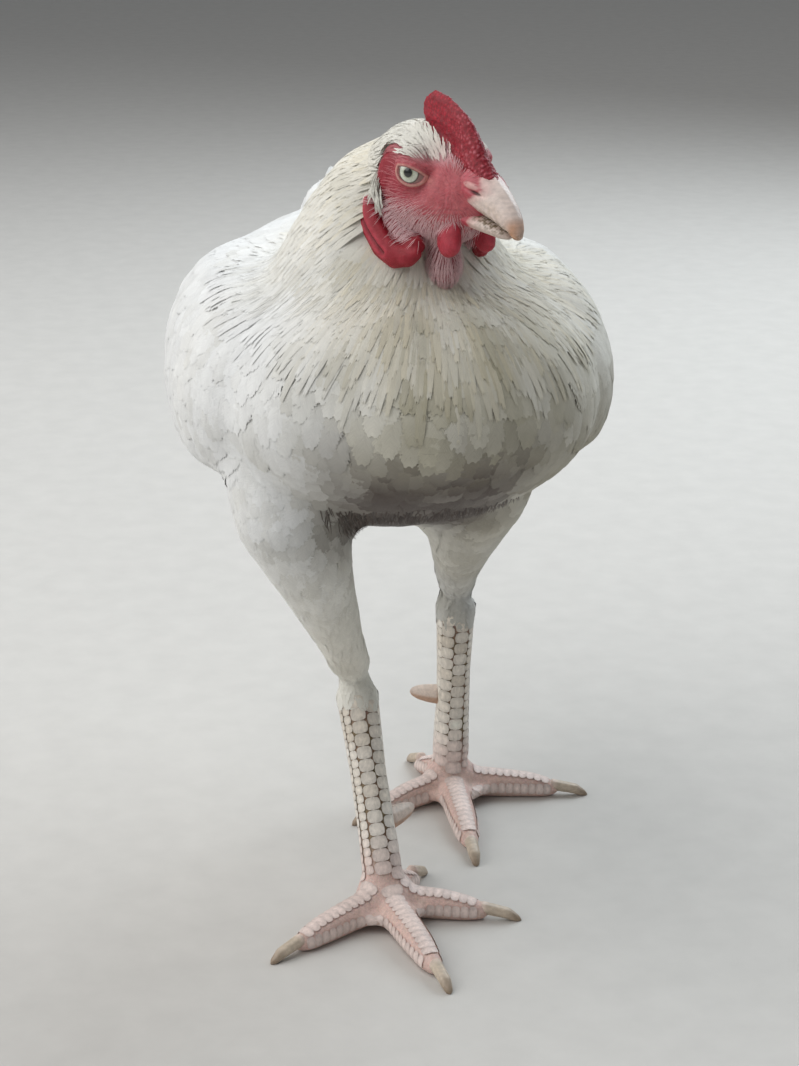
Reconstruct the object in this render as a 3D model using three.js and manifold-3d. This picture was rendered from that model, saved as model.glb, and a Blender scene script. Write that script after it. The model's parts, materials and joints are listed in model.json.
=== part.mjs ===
// A white meat-type chicken with short spurs, life size, in mid-stride: right foot ahead, left foot behind,
// head low over the breast and turned to its left. Millimetres, +Z up. The bird faces -Y, its left side is
// +X, and the floor is z = 0. Every solid follows the outline of the plumage, out to the feather tips.
// The body is modelled whole and then parted with thin cuts, so that neighbours meet along one surface.
import * as THREE from "three";
import { mergeVertices } from "three/addons/utils/BufferGeometryUtils.js";
import Module from "manifold-3d";

const wasm = await Module();
wasm.setup();

// ---- driving dimensions ----
const GAP = 0.3; // clear space kept between neighbouring solids
const THIGH_GAP = 0.5; // the same round a thigh, which leaves the trunk at a slant
const SIDES = { left: 1, right: -1 };

const HEAD = { at: [-2, -96, 279], turn: 24, bow: 10 }; // between the eyes; degrees to its left, and down
const EYE = { radius: 7, offset: 9.9, forward: 1 };
const SHANK = { wide: 6.6, deep: 7.2 }; // half-widths at the middle of the bare leg
const BALL_HEIGHT = 11; // centre of the ball of the foot, where the toes meet
const TOE_SINK = 0.9; // how far a round toe pad is flattened on the floor
const WEB = { thick: 3, height: 3.4, outer: 0.46, middle: 0.3, inner: 0.46 }; // shares of each toe's reach

// Where each leg bends, how its muscle runs from hip to hock, and where the ball of its foot stands.
// Each toe points to a place on the floor, given from the ball.
const LEGS = {
  right: {
    hip: [-51, -56, 188],
    knee: [-53, -73, 159],
    calf: [-37.5, -66, 114],
    hock: [-25, -44, 78],
    ball: [-20.5, -85, BALL_HEIGHT],
    spurTip: [-5, -58, 30],
    toes: {
      outer: { to: [-45, -31], length: 54, joints: 4 },
      middle: { to: [12, -63], length: 64, joints: 3 },
      inner: { to: [45, -14], length: 47, joints: 2 },
      hind: { to: [20, 28], length: 34, joints: 1 },
    },
  },
  left: {
    hip: [29, -40, 188],
    knee: [23, -42, 158],
    calf: [22, -6, 112],
    hock: [25, 11, 91],
    ball: [23.7, 14.5, BALL_HEIGHT],
    spurTip: [8, 21, 44],
    toes: {
      outer: { to: [52, -11], length: 54, joints: 4 },
      middle: { to: [-3, -70], length: 68, joints: 3 },
      inner: { to: [-37, -20], length: 47, joints: 2 },
      hind: { to: [-11, 36], length: 36, joints: 1 },
    },
  },
};

const MATERIALS = {
  feather: new THREE.MeshStandardMaterial({ color: "#f1eee6", roughness: 0.85 }),
  skin: new THREE.MeshStandardMaterial({ color: "#b3202f", roughness: 0.6 }),
  leg: new THREE.MeshStandardMaterial({ color: "#e0c8b4", roughness: 0.6 }),
  horn: new THREE.MeshStandardMaterial({ color: "#e9d9c2", roughness: 0.45 }),
  eye: new THREE.MeshStandardMaterial({ color: "#a9b08d", roughness: 0.1 }),
};

// ---- curves ----
const vec = (p) => new THREE.Vector3(...p);
const towards = (a, b, share) => vec(a).lerp(vec(b), share).toArray();
const power = (x, n) => Math.sign(x) * Math.abs(x) ** n;

// A smooth line through the values that the stations hold under one key, read at t from 0 to 1.
function along(stations, key) {
  const places = stations.map((s, i) => new THREE.Vector2(i / (stations.length - 1), s[key]));
  const line = new THREE.SplineCurve(places);
  return (t) => line.getPoint(t).y;
}

const spine = (stations) => new THREE.CatmullRomCurve3(stations.map((s) => vec(s.at)), false, "centripetal");

// 1 in the middle of a body, rounding off to 0 over the first and last shares of its length.
function dome(t, first, last) {
  const near = Math.min(1, t / first);
  const far = Math.min(1, (1 - t) / last);
  return Math.sqrt(near * (2 - near)) * Math.sqrt(far * (2 - far));
}

// ---- solids ----
// A closed geometry as a solid, turned the right way out.
function solidOf(geometry) {
  const bare = geometry.clone();
  bare.deleteAttribute("normal");
  bare.deleteAttribute("uv");
  const merged = mergeVertices(bare, 1e-3);
  const triVerts = new Uint32Array(merged.index.array);
  const vertProperties = new Float32Array(merged.attributes.position.array);
  const made = new wasm.Manifold(new wasm.Mesh({ numProp: 3, vertProperties, triVerts }));
  if (made.volume() > 0) return made;
  return new wasm.Manifold(new wasm.Mesh({ numProp: 3, vertProperties, triVerts: triVerts.reverse() }));
}

// A solid from points and triangles.
function faceted(points, faces) {
  const geometry = new THREE.BufferGeometry().setFromPoints(points);
  geometry.setIndex(faces);
  return solidOf(geometry);
}

// A body whose sections stand across a line of stations. A station has its centre, at, its half-width, wide,
// and its heights above and below the centre. first and last are the shares of the length over which the ends
// round off. square is 2 for an oval section and more for a fuller one. grow thickens the body all over, and
// sideways is the direction that wide is measured along.
function loft(stations, { rings, sides, first, last, square = 2, grow = 0, sideways = [1, 0, 0] }) {
  const line = spine(stations);
  const wide = along(stations, "wide");
  const above = along(stations, "above");
  const below = along(stations, "below");
  const across = vec(sideways).normalize();
  const lastUp = new THREE.Vector3(0, 0, 1);
  const points = [];
  for (let i = 1; i < rings; i++) {
    const t = (1 - Math.cos((Math.PI * i) / rings)) / 2;
    const centre = line.getPoint(t);
    const ahead = line.getTangent(t);
    const up = new THREE.Vector3().crossVectors(ahead, across).normalize();
    if (up.dot(lastUp) < 0) up.negate();
    lastUp.copy(up);
    const flat = new THREE.Vector3().crossVectors(up, ahead).normalize();
    if (flat.dot(across) < 0) flat.negate();
    const round = dome(t, first, last);
    for (let j = 0; j < sides; j++) {
      const angle = (2 * Math.PI * j) / sides;
      const s = power(Math.cos(angle), 2 / square);
      const h = power(Math.sin(angle), 2 / square);
      const height = h > 0 ? above(t) : below(t);
      const p = centre.clone();
      p.addScaledVector(flat, s * (wide(t) * round + grow));
      p.addScaledVector(up, h * (height * round + grow));
      points.push(p);
    }
  }
  const startPole = points.push(line.getPoint(0).addScaledVector(line.getTangent(0), -grow)) - 1;
  const endPole = points.push(line.getPoint(1).addScaledVector(line.getTangent(1), grow)) - 1;
  const at = (i, j) => (i - 1) * sides + (j % sides);
  const faces = [];
  for (let j = 0; j < sides; j++) {
    faces.push(startPole, at(1, j + 1), at(1, j));
    faces.push(endPole, at(rings - 1, j), at(rings - 1, j + 1));
    for (let i = 1; i < rings - 1; i++) {
      faces.push(at(i, j), at(i, j + 1), at(i + 1, j));
      faces.push(at(i, j + 1), at(i + 1, j + 1), at(i + 1, j));
    }
  }
  return faceted(points, faces);
}

// A block that fills all the space beyond a plane, on the side that its normal points to. back moves the
// plane against its normal, which leaves a gap between two pieces that the plane parts.
function beyond({ at, normal }, back = 0) {
  const size = 900;
  const block = new THREE.BoxGeometry(size, size, size);
  block.translate(0, 0, size / 2 - back);
  const turn = new THREE.Quaternion().setFromUnitVectors(new THREE.Vector3(0, 0, 1), vec(normal).normalize());
  block.applyQuaternion(turn);
  block.translate(...at);
  return solidOf(block);
}

const FLOOR = { at: [0, 0, 0], normal: [0, 0, -1] };
const onFloor = (solid) => solid.subtract(beyond(FLOOR));

// A group at a place of its own. Its solids are modelled in the bird's frame and then handed to it.
function groupAt(place) {
  const group = new THREE.Group();
  place.decompose(group.position, group.quaternion, group.scale);
  group.updateMatrix();
  return group;
}

// The solid as a named mesh of the group, whose own origin is the middle of the solid.
function add(group, name, solid, material) {
  const cut = solid.getMesh();
  const places = new Float32Array(cut.numVert * 3);
  for (let i = 0; i < cut.numVert; i++) {
    places.set(cut.vertProperties.subarray(i * cut.numProp, i * cut.numProp + 3), i * 3);
  }
  const geometry = new THREE.BufferGeometry();
  geometry.setAttribute("position", new THREE.BufferAttribute(places, 3));
  geometry.setIndex(new THREE.BufferAttribute(cut.triVerts, 1));
  geometry.applyMatrix4(group.matrix.clone().invert());
  geometry.computeBoundingBox();
  const mesh = new THREE.Mesh(geometry, material);
  geometry.boundingBox.getCenter(mesh.position);
  geometry.center();
  geometry.computeVertexNormals();
  mesh.name = name;
  group.add(mesh);
}

// ---- the head's own frame: f forward, s to the bird's left, u up, from the point between the eyes ----
const headPlace = new THREE.Matrix4()
  .makeTranslation(...HEAD.at)
  .multiply(new THREE.Matrix4().makeRotationZ(THREE.MathUtils.degToRad(HEAD.turn)))
  .multiply(new THREE.Matrix4().makeRotationX(THREE.MathUtils.degToRad(HEAD.bow)));
const headSide = new THREE.Vector3(1, 0, 0).transformDirection(headPlace).toArray();
const inHead = (f, s, u) => new THREE.Vector3(s, -f, u).applyMatrix4(headPlace).toArray();

// A station in the middle plane of the head, from its half-width and the heights of its top and bottom.
function headStation(f, wide, top, bottom) {
  const half = (top - bottom) / 2;
  return { at: inHead(f, 0, (top + bottom) / 2), wide, above: half, below: half };
}

// ---- head ----
const headStations = [
  headStation(-38, 13, 3, -16),
  headStation(-27, 15.5, 8, -24),
  headStation(-14, 17, 12.6, -28),
  headStation(-2, 16.2, 13.4, -27),
  headStation(9, 13.4, 11.4, -22),
  headStation(18, 9.6, 8.6, -15.5),
  headStation(28, 6, 4.6, -11.5),
];
function headShape(grow = 0) {
  return loft(headStations, { rings: 12, sides: 16, first: 0.34, last: 0.22, grow, sideways: headSide });
}

// The upper beak is a stout hook, and the lower one closes against its edge.
const upperBeakStations = [
  headStation(15, 7.4, 7.4, -6.2),
  headStation(22, 6.7, 6.8, -6.6),
  headStation(29, 5.7, 4.6, -7.0),
  headStation(36, 4.3, 1.2, -7.8),
  headStation(41, 2.9, -2.6, -9.0),
  headStation(44.6, 1.6, -7.6, -11.2),
];
function upperBeakShape(grow = 0) {
  return loft(upperBeakStations, { rings: 10, sides: 12, first: 0.1, last: 0.12, grow, sideways: headSide });
}

const lowerBeakStations = [
  headStation(14, 6.6, -7.2, -13.4),
  headStation(22, 5.8, -7.4, -13.0),
  headStation(30, 4.6, -7.9, -12.2),
  headStation(36, 3.2, -8.7, -11.8),
  headStation(40, 2.0, -9.6, -11.4),
];
function lowerBeakShape(grow = 0) {
  return loft(lowerBeakStations, { rings: 7, sides: 10, first: 0.1, last: 0.2, grow, sideways: headSide });
}

// The comb is one low blade, highest at the back and thick over the nostrils.
const combStations = [
  headStation(-12.6, 2.2, 18, 9),
  headStation(-9.4, 2.9, 23.6, 8),
  headStation(-4.5, 3.3, 24.6, 8),
  headStation(1, 3.5, 23.2, 7),
  headStation(6.5, 3.8, 22.0, 6),
  headStation(11.5, 4.2, 19.2, 5),
  headStation(16, 4.8, 15.6, 4),
  headStation(20.5, 5.0, 11, 3),
  headStation(25.5, 4.4, 8.0, 2),
  headStation(30.5, 3.0, 6.0, 1),
];
function combShape() {
  return loft(combStations, { rings: 12, sides: 8, first: 0.1, last: 0.14, sideways: headSide });
}

function eyeShape(side, grow = 0) {
  const ball = new THREE.SphereGeometry(EYE.radius + grow, 12, 8);
  ball.translate(...inHead(EYE.forward, side * EYE.offset, 0));
  return solidOf(ball);
}

// A lobe of bare skin that hangs straight from root to tip, fullest near its lower end.
function lobe(root, tip, breadth, thickness, grow) {
  const fullness = [0.6, 0.9, 1.1, 0.85];
  const stations = fullness.map((share, i) => ({
    at: inHead(...towards(root, tip, i / (fullness.length - 1))),
    wide: thickness * (0.5 + share / 2),
    above: breadth * share,
    below: breadth * share,
  }));
  return loft(stations, { rings: 7, sides: 10, first: 0.3, last: 0.45, grow, sideways: headSide });
}
const wattleShape = (side, grow = 0) => lobe([18, side * 6.4, -12], [16, side * 7.6, -24.5], 5.4, 2.5, grow);
const throatFoldShape = (grow = 0) => lobe([4, -1, -18], [10, -1.5, -38], 6, 5, grow);

// The earlobe hangs from behind the cheek and curls forward under it.
function earlobeShape(side, grow = 0) {
  const station = (f, s, u, breadth) => {
    return { at: inHead(f, side * s, u), wide: 2.6, above: breadth, below: breadth };
  };
  const stations = [
    station(-17, 17.4, -13, 3.6),
    station(-12.5, 18.6, -21, 4.8),
    station(-5, 18.2, -27, 5),
    station(3, 16.2, -28.6, 4.2),
    station(10, 12.6, -24.5, 2.8),
  ];
  return loft(stations, { rings: 8, sides: 10, first: 0.2, last: 0.2, grow, sideways: headSide });
}

// ---- trunk, neck and tail ----
// A section of the trunk stands across the bird at y. wide is its half-width at its widest height, middle.
// The trunk hangs a little towards the forward leg, which carries it.
function section(x, y, wide, top, middle, bottom) {
  return { at: [x, y, middle], wide, above: top - middle, below: middle - bottom };
}

const trunkStations = [
  section(-10, -136, 49, 225, 195, 169),
  section(-10, -110, 62, 239, 195, 161),
  section(-9.5, -72, 70, 244, 195, 146),
  section(-9, -30, 73, 248, 194, 132),
  section(-8, 10, 72, 249, 193, 123),
  section(-6, 46, 64, 244, 192, 126),
  section(-4, 80, 45, 231, 190, 147),
  section(-2, 106, 26, 214, 189, 165),
];
const TRUNK = { first: 0.26, last: 0.16, square: 2.1 };
const trunkShape = (grow = 0) => loft(trunkStations, { rings: 17, sides: 20, ...TRUNK, grow });

// The neck rises almost upright: above is its nape and below is its throat.
const neckStations = [
  { at: [-9, -56, 171], wide: 56, above: 44, below: 54 },
  { at: [-10, -58, 199], wide: 62, above: 50, below: 72 },
  { at: [-11, -60, 221], wide: 54, above: 52, below: 62 },
  { at: [-12, -64, 239], wide: 43, above: 48, below: 47 },
  { at: [-11, -68, 254], wide: 34, above: 42, below: 34 },
  { at: [-8, -74, 270], wide: 26, above: 29, below: 23 },
  { at: [-3, -81, 287], wide: 17, above: 17, below: 14 },
];
const neckShape = (grow = 0) => loft(neckStations, { rings: 10, sides: 18, first: 0.2, last: 0.2, grow });

const tailStations = [
  { at: [-5, 60, 198], wide: 42, above: 38, below: 34 },
  { at: [-3, 92, 206], wide: 30, above: 28, below: 26 },
  { at: [-2, 128, 212], wide: 21, above: 23, below: 22 },
  { at: [-1, 164, 218], wide: 16, above: 21, below: 19 },
];
const tailShape = (grow = 0) => loft(tailStations, { rings: 8, sides: 14, first: 0.2, last: 0.1, grow });

// The planes that part the body: behind the cheeks, at the foot of the neck, and before the tail.
const NAPE = { at: inHead(-19, 0, -14), normal: [0, 0.82, -0.57] };
const NECK_BASE = { at: [0, -62, 226], normal: [0, -0.35, 0.94] };
const TAIL_BASE = { at: [0, 86, 204], normal: [0, 1, 0] };

// ---- wings ----
// A folded wing is a curved shell on the flank, from one share of the trunk's length to another. Its
// sections follow the trunk's own, between a low and a high angle about the widest line, given where the
// wing starts and where it ends. It swells outwards between its rims, which stand off the trunk by edge.
const WING = { from: 0.25, to: 0.97, low: [-41, 0], high: [56, 36], swell: 8, edge: 1.8, sunk: 4 };

const flank = {
  wide: along(trunkStations, "wide"),
  above: along(trunkStations, "above"),
  below: along(trunkStations, "below"),
  middle: spine(trunkStations),
};

// The point of the flank at t along the trunk and an angle about its widest line, moved out from the surface.
function flankPoint(side, t, angle, out) {
  const round = dome(t, TRUNK.first, TRUNK.last);
  const height = angle > 0 ? flank.above(t) : flank.below(t);
  const p = flank.middle.getPoint(t);
  p.x += side * power(Math.cos(angle), 2 / TRUNK.square) * (flank.wide(t) * round + out);
  p.z += power(Math.sin(angle), 2 / TRUNK.square) * (height * round + out);
  return p;
}

function wingShape(side) {
  const { from, to, swell, edge, sunk } = WING;
  const rings = 10;
  const ribs = 6;
  const points = [];
  for (const outer of [true, false]) {
    for (let i = 0; i <= rings; i++) {
      const share = i / rings;
      const low = THREE.MathUtils.lerp(...WING.low, share ** 2);
      const high = THREE.MathUtils.lerp(...WING.high, share ** 2);
      const half = ((high - low) / 2) * (0.35 + 0.65 * dome(share, 0.25, 1));
      for (let j = 0; j <= ribs; j++) {
        const rib = j / ribs;
        const angle = THREE.MathUtils.degToRad((low + high) / 2 + half * (2 * rib - 1));
        const thick = swell * dome(share, 0.35, 0.9) * dome(rib, 0.16, 0.5);
        points.push(flankPoint(side, from + (to - from) * share, angle, outer ? thick + edge : -sunk));
      }
    }
  }
  const layer = (rings + 1) * (ribs + 1);
  const outside = (i, j) => i * (ribs + 1) + j;
  const inside = (i, j) => layer + outside(i, j);
  const faces = [];
  const quad = (a, b, c, d) => faces.push(a, b, c, a, c, d);
  for (let i = 0; i < rings; i++) {
    for (let j = 0; j < ribs; j++) {
      quad(outside(i, j), outside(i + 1, j), outside(i + 1, j + 1), outside(i, j + 1));
      quad(inside(i, j), inside(i, j + 1), inside(i + 1, j + 1), inside(i + 1, j));
    }
    quad(outside(i, 0), inside(i, 0), inside(i + 1, 0), outside(i + 1, 0));
    quad(outside(i, ribs), outside(i + 1, ribs), inside(i + 1, ribs), inside(i, ribs));
  }
  for (let j = 0; j < ribs; j++) {
    quad(outside(0, j), outside(0, j + 1), inside(0, j + 1), inside(0, j));
    quad(outside(rings, j), inside(rings, j), inside(rings, j + 1), outside(rings, j + 1));
  }
  return faceted(points, faces);
}

// ---- legs ----
function thighShape(leg, grow = 0) {
  const { hip, knee, calf, hock, ball } = leg;
  const stations = [
    { at: hip, wide: 21, above: 24, below: 24 },
    { at: knee, wide: 22.5, above: 25, below: 25 },
    { at: calf, wide: 11.4, above: 13, below: 13 },
    { at: hock, wide: 8.2, above: 8.8, below: 8.6 },
    { at: towards(hock, ball, 0.08), wide: 7.6, above: 8.2, below: 8 },
  ];
  return loft(stations, { rings: 11, sides: 12, first: 0.2, last: 0.06, grow });
}

// The bare shank is a little thicker at the hock and again above the toes.
function shankShape(leg, grow = 0) {
  const station = (share, girth) => {
    const deep = SHANK.deep * girth;
    return { at: towards(leg.hock, leg.ball, share), wide: SHANK.wide * girth, above: deep, below: deep };
  };
  const stations = [
    station(0, 1.07),
    station(0.1, 1.17),
    station(0.3, 1),
    station(0.6, 0.98),
    station(0.85, 1.06),
    station(1, 1.15),
  ];
  return loft(stations, { rings: 8, sides: 8, first: 0.1, last: 0.08, square: 2.3, grow });
}

// The ball of the foot, with the small webs that join the front toes.
function footShape(leg, grow = 0) {
  const [x, y, z] = leg.ball;
  const pad = [
    { at: [x, y + 9, z - 3.6], wide: 8, above: 6, below: 8 },
    { at: [x, y + 3, z - 3], wide: 10.5, above: 9, below: 9 },
    { at: [x, y - 4, z - 4], wide: 11.5, above: 8, below: 8 },
    { at: [x, y - 11, z - 5.4], wide: 9, above: 6, below: 6 },
  ];
  const outline = new THREE.Shape();
  outline.moveTo(x, y + 4);
  for (const name of ["outer", "middle", "inner"]) {
    const [toX, toY] = leg.toes[name].to;
    const share = WEB[name] + grow / Math.hypot(toX, toY);
    outline.lineTo(x + toX * share, y + toY * share);
  }
  const web = new THREE.ExtrudeGeometry(outline, { depth: WEB.thick + 2 * grow, bevelEnabled: false });
  web.translate(0, 0, WEB.height - grow);
  return loft(pad, { rings: 6, sides: 10, first: 0.3, last: 0.3, square: 2.2, grow }).add(solidOf(web));
}

// The middle line of a toe. A front toe lies flat, and the hind toe starts higher, on the shank.
function toeLine(leg, name) {
  const { to, length } = leg.toes[name];
  const [x, y] = leg.ball;
  const reach = length / Math.hypot(...to);
  const at = (share, z) => [x + to[0] * reach * share, y + to[1] * reach * share, z];
  if (name === "hind") return [at(0.12, 11), at(0.4, 6.4), at(0.62, 3.2), at(0.8, 2.1)];
  return [at(0.04, 6.6), at(0.34, 4.8), at(0.6, 4.2), at(0.85, 3.2)];
}

// A toe swells at each of its joints, and lies on its pads.
function toeShape(leg, name, grow = 0) {
  const radii = name === "hind" ? [5, 4.4, 4, 3] : [6.6, 5.6, 4.9, 3.6];
  const { joints } = leg.toes[name];
  const line = new THREE.CatmullRomCurve3(toeLine(leg, name).map(vec));
  const girth = along(radii.map((radius) => ({ radius })), "radius");
  const count = 2 * joints + 3;
  const stations = [];
  for (let i = 0; i < count; i++) {
    const t = i / (count - 1);
    const radius = girth(t) * (i % 2 === 1 ? 1.05 : 0.95);
    const at = line.getPoint(t);
    if (name !== "hind") at.z = radius - TOE_SINK;
    stations.push({ at: at.toArray(), wide: radius * 1.04, above: radius, below: radius });
  }
  const ahead = line.getTangent(0);
  const sideways = [ahead.y, -ahead.x, 0];
  return loft(stations, { rings: 4 + joints, sides: 8, first: 0.12, last: 0.16, grow, sideways });
}

// A blunt claw, whose tip rests on the floor.
function clawShape(leg, name) {
  const line = toeLine(leg, name);
  const end = vec(line.at(-1));
  const ahead = end.clone().sub(vec(line.at(-2))).setZ(0).normalize();
  const length = name === "hind" ? 9 : 11;
  const station = (share, z, radius) => {
    const at = end.clone().addScaledVector(ahead, length * share).setZ(z).toArray();
    return { at, wide: radius * 1.08, above: radius, below: radius };
  };
  const stations = [
    station(-0.15, 4.2, 2.3),
    station(0.3, 4, 2.2),
    station(0.7, 1.4, 1.7),
    station(1, 0.2, 1),
  ];
  const sideways = [ahead.y, -ahead.x, 0];
  return loft(stations, { rings: 4, sides: 6, first: 0.12, last: 0.25, sideways });
}

// A short blunt spur on the inner side of the shank, towards the back.
function spurShape(leg, grow = 0) {
  const height = (leg.spurTip[2] - BALL_HEIGHT) / (leg.hock[2] - BALL_HEIGHT);
  const root = towards(leg.ball, leg.hock, height);
  const station = (share, radius) => {
    return { at: towards(root, leg.spurTip, share), wide: radius, above: radius, below: radius };
  };
  const stations = [
    station(0.2, 4.2),
    station(0.55, 3.7),
    station(0.8, 2.8),
    station(1, 1.7),
  ];
  return loft(stations, { rings: 5, sides: 8, first: 0.1, last: 0.25, grow, sideways: [0, 1, 0] });
}

// ---- the bird, put together ----
const bird = new THREE.Group();

function makeHead() {
  const group = groupAt(headPlace);
  const head = headShape()
    .subtract(beyond(NAPE, GAP))
    .subtract(upperBeakShape(GAP))
    .subtract(lowerBeakShape(GAP))
    .subtract(eyeShape(SIDES.left, GAP))
    .subtract(eyeShape(SIDES.right, GAP));
  const headAndBeak = headShape(GAP).add(upperBeakShape(GAP)).add(lowerBeakShape(GAP));
  add(group, "head", head, MATERIALS.feather);
  add(group, "beak_upper", upperBeakShape(), MATERIALS.horn);
  add(group, "beak_lower", lowerBeakShape().subtract(upperBeakShape(GAP)), MATERIALS.horn);
  add(group, "comb", combShape().subtract(headAndBeak), MATERIALS.skin);
  add(group, "throat_fold", throatFoldShape().subtract(headAndBeak), MATERIALS.skin);
  for (const [name, side] of Object.entries(SIDES)) {
    const wattle = wattleShape(side).subtract(headAndBeak).subtract(throatFoldShape(GAP));
    add(group, `eye_${name}`, eyeShape(side), MATERIALS.eye);
    add(group, `wattle_${name}`, wattle, MATERIALS.skin);
    add(group, `earlobe_${name}`, earlobeShape(side).subtract(headShape(GAP)), MATERIALS.skin);
  }
  return group;
}

function makeBody() {
  const group = groupAt(new THREE.Matrix4());
  let body = trunkShape().add(neckShape()).add(tailShape()).add(headShape());
  body = body.subtract(headShape(GAP).subtract(beyond(NAPE))).subtract(throatFoldShape(GAP));
  for (const side of Object.values(SIDES)) {
    body = body.subtract(wattleShape(side, GAP)).subtract(earlobeShape(side, GAP));
  }
  const belowNeck = body.subtract(beyond(NECK_BASE, GAP));
  let trunk = belowNeck.subtract(beyond(TAIL_BASE, GAP));
  const underWings = trunkShape(GAP).add(neckShape(GAP)).add(tailShape(GAP));
  for (const [name, side] of Object.entries(SIDES)) {
    const thigh = thighShape(LEGS[name], THIGH_GAP);
    trunk = trunk.subtract(thigh);
    add(group, `wing_${name}`, wingShape(side).subtract(underWings).subtract(thigh), MATERIALS.feather);
  }
  add(group, "neck", body.intersect(beyond(NECK_BASE)), MATERIALS.feather);
  add(group, "tail", belowNeck.intersect(beyond(TAIL_BASE)), MATERIALS.feather);
  add(group, "trunk", trunk, MATERIALS.feather);
  return group;
}

// Each leg's group stands on the floor, under the ball of its foot.
function makeLeg(name, leg) {
  const group = groupAt(new THREE.Matrix4().makeTranslation(leg.ball[0], leg.ball[1], 0));
  const shank = shankShape(leg).subtract(thighShape(leg, GAP)).subtract(spurShape(leg, GAP));
  const shankGrown = shankShape(leg, GAP);
  add(group, `thigh_${name}`, thighShape(leg), MATERIALS.feather);
  add(group, `shank_${name}`, shank, MATERIALS.leg);
  add(group, `spur_${name}`, spurShape(leg), MATERIALS.horn);
  add(group, `foot_${name}`, onFloor(footShape(leg)).subtract(shankGrown), MATERIALS.leg);
  let taken = footShape(leg, GAP).add(shankGrown);
  for (const toe of Object.keys(leg.toes)) {
    const claw = clawShape(leg, toe).subtract(toeShape(leg, toe, GAP));
    add(group, `toe_${toe}_${name}`, onFloor(toeShape(leg, toe).subtract(taken)), MATERIALS.leg);
    add(group, `claw_${toe}_${name}`, onFloor(claw), MATERIALS.horn);
    taken = taken.add(toeShape(leg, toe, GAP));
  }
  return group;
}

bird.add(makeHead());
bird.add(makeBody());
for (const [name, leg] of Object.entries(LEGS)) bird.add(makeLeg(name, leg));

// The part's origin is under the middle of its box, on the floor.
const middle = new THREE.Box3().setFromObject(bird).getCenter(new THREE.Vector3());
bird.position.set(-middle.x, -middle.y, 0);

export default bird;
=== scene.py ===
# %% [markdown]
# # A white chicken in mid-stride
# This lesson dresses a plain solid model of a chicken: first its skin, then eyes, beak and claws, then the
# plumage, feather by feather, and last the scales of the legs and the materials. The solids come packed, in
# metres, with the floor at z = 0. The bird faces -Y and its left side is +X. Nothing is moved: every new
# piece is made where its solid already stands.

# %% Load the solids
import json
import math
import time

import bmesh
import bpy
import numpy as np
from mathutils import Matrix, Vector
from mathutils.bvhtree import BVHTree

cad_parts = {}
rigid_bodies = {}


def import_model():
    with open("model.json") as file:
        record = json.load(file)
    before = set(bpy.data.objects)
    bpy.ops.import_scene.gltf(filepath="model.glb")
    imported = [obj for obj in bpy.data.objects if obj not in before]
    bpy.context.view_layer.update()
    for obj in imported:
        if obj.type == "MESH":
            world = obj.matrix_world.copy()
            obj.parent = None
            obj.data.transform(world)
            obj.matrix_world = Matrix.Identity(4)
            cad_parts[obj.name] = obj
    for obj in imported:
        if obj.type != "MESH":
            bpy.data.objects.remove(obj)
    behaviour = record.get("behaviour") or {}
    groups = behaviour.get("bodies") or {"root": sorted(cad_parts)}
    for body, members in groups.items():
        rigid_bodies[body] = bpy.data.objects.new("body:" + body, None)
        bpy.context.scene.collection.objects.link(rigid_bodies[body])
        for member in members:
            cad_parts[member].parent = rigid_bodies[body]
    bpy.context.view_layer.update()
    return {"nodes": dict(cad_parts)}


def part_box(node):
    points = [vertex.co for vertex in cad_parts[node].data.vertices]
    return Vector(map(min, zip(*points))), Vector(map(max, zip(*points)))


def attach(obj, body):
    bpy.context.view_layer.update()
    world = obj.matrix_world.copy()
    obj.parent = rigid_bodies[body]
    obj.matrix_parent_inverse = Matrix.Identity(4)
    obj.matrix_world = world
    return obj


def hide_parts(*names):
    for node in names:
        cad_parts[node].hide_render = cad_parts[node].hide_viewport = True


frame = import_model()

MM = 0.001
SIDES = {"left": 1, "right": -1}
TOES = ("outer", "middle", "inner", "hind")
random = np.random.default_rng(7)
started = time.perf_counter()


def report(piece):
    """Prints a finished piece's size, as each cell does with what it made."""
    triangles = sum(len(p.vertices) - 2 for p in piece.data.polygons)
    print(f"{piece.name}: {triangles} triangles, {time.perf_counter() - started:.0f} s so far")


# %% [markdown]
# ## Where things are
# The head is turned and bowed, so it has a frame of its own: f forward along the beak, s towards the bird's
# left, u up, all in millimetres from a point between the eyes. The two eyes give its place and its sideways
# direction. Everything on the head is then described as on a bird that looks straight ahead.

# %% The head's own frame
HEAD_BOW = math.radians(10)
EYE_FORWARD = 1.0


def middle_of(node):
    low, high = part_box(node)
    return (low + high) / 2


between_eyes = (middle_of("eye_left") + middle_of("eye_right")) / 2
head_side = (middle_of("eye_left") - middle_of("eye_right")).normalized()
level_forward = head_side.cross(Vector((0, 0, 1)))
head_forward = (level_forward * math.cos(HEAD_BOW) - Vector((0, 0, 1)) * math.sin(HEAD_BOW)).normalized()
head_up = head_forward.cross(head_side)
head_origin = between_eyes - head_forward * EYE_FORWARD * MM
HEAD_AXES = np.array([head_forward, head_side, head_up])


def to_head(points):
    """Points of the bird, in metres, as f, s, u on the head, in millimetres."""
    return (np.asarray(points) - np.array(head_origin)) @ HEAD_AXES.T / MM


def from_head(fsu):
    """Places on the head, in millimetres, as points of the bird, in metres."""
    return np.asarray(fsu, float) * MM @ HEAD_AXES + np.array(head_origin)


print("head at", [round(c, 4) for c in head_origin], "forward", [round(c, 2) for c in head_forward],
      "up", [round(c, 2) for c in head_up])

# %% [markdown]
# ## Small tools for meshes
# A mesh's points and normals can be read and written all at once as numpy arrays, which keeps a sculpting
# step on a hundred thousand points as short as one on a single point. smoothstep is the soft 0-to-1 ramp
# that blends one shape, or one colour, into the next.

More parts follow.
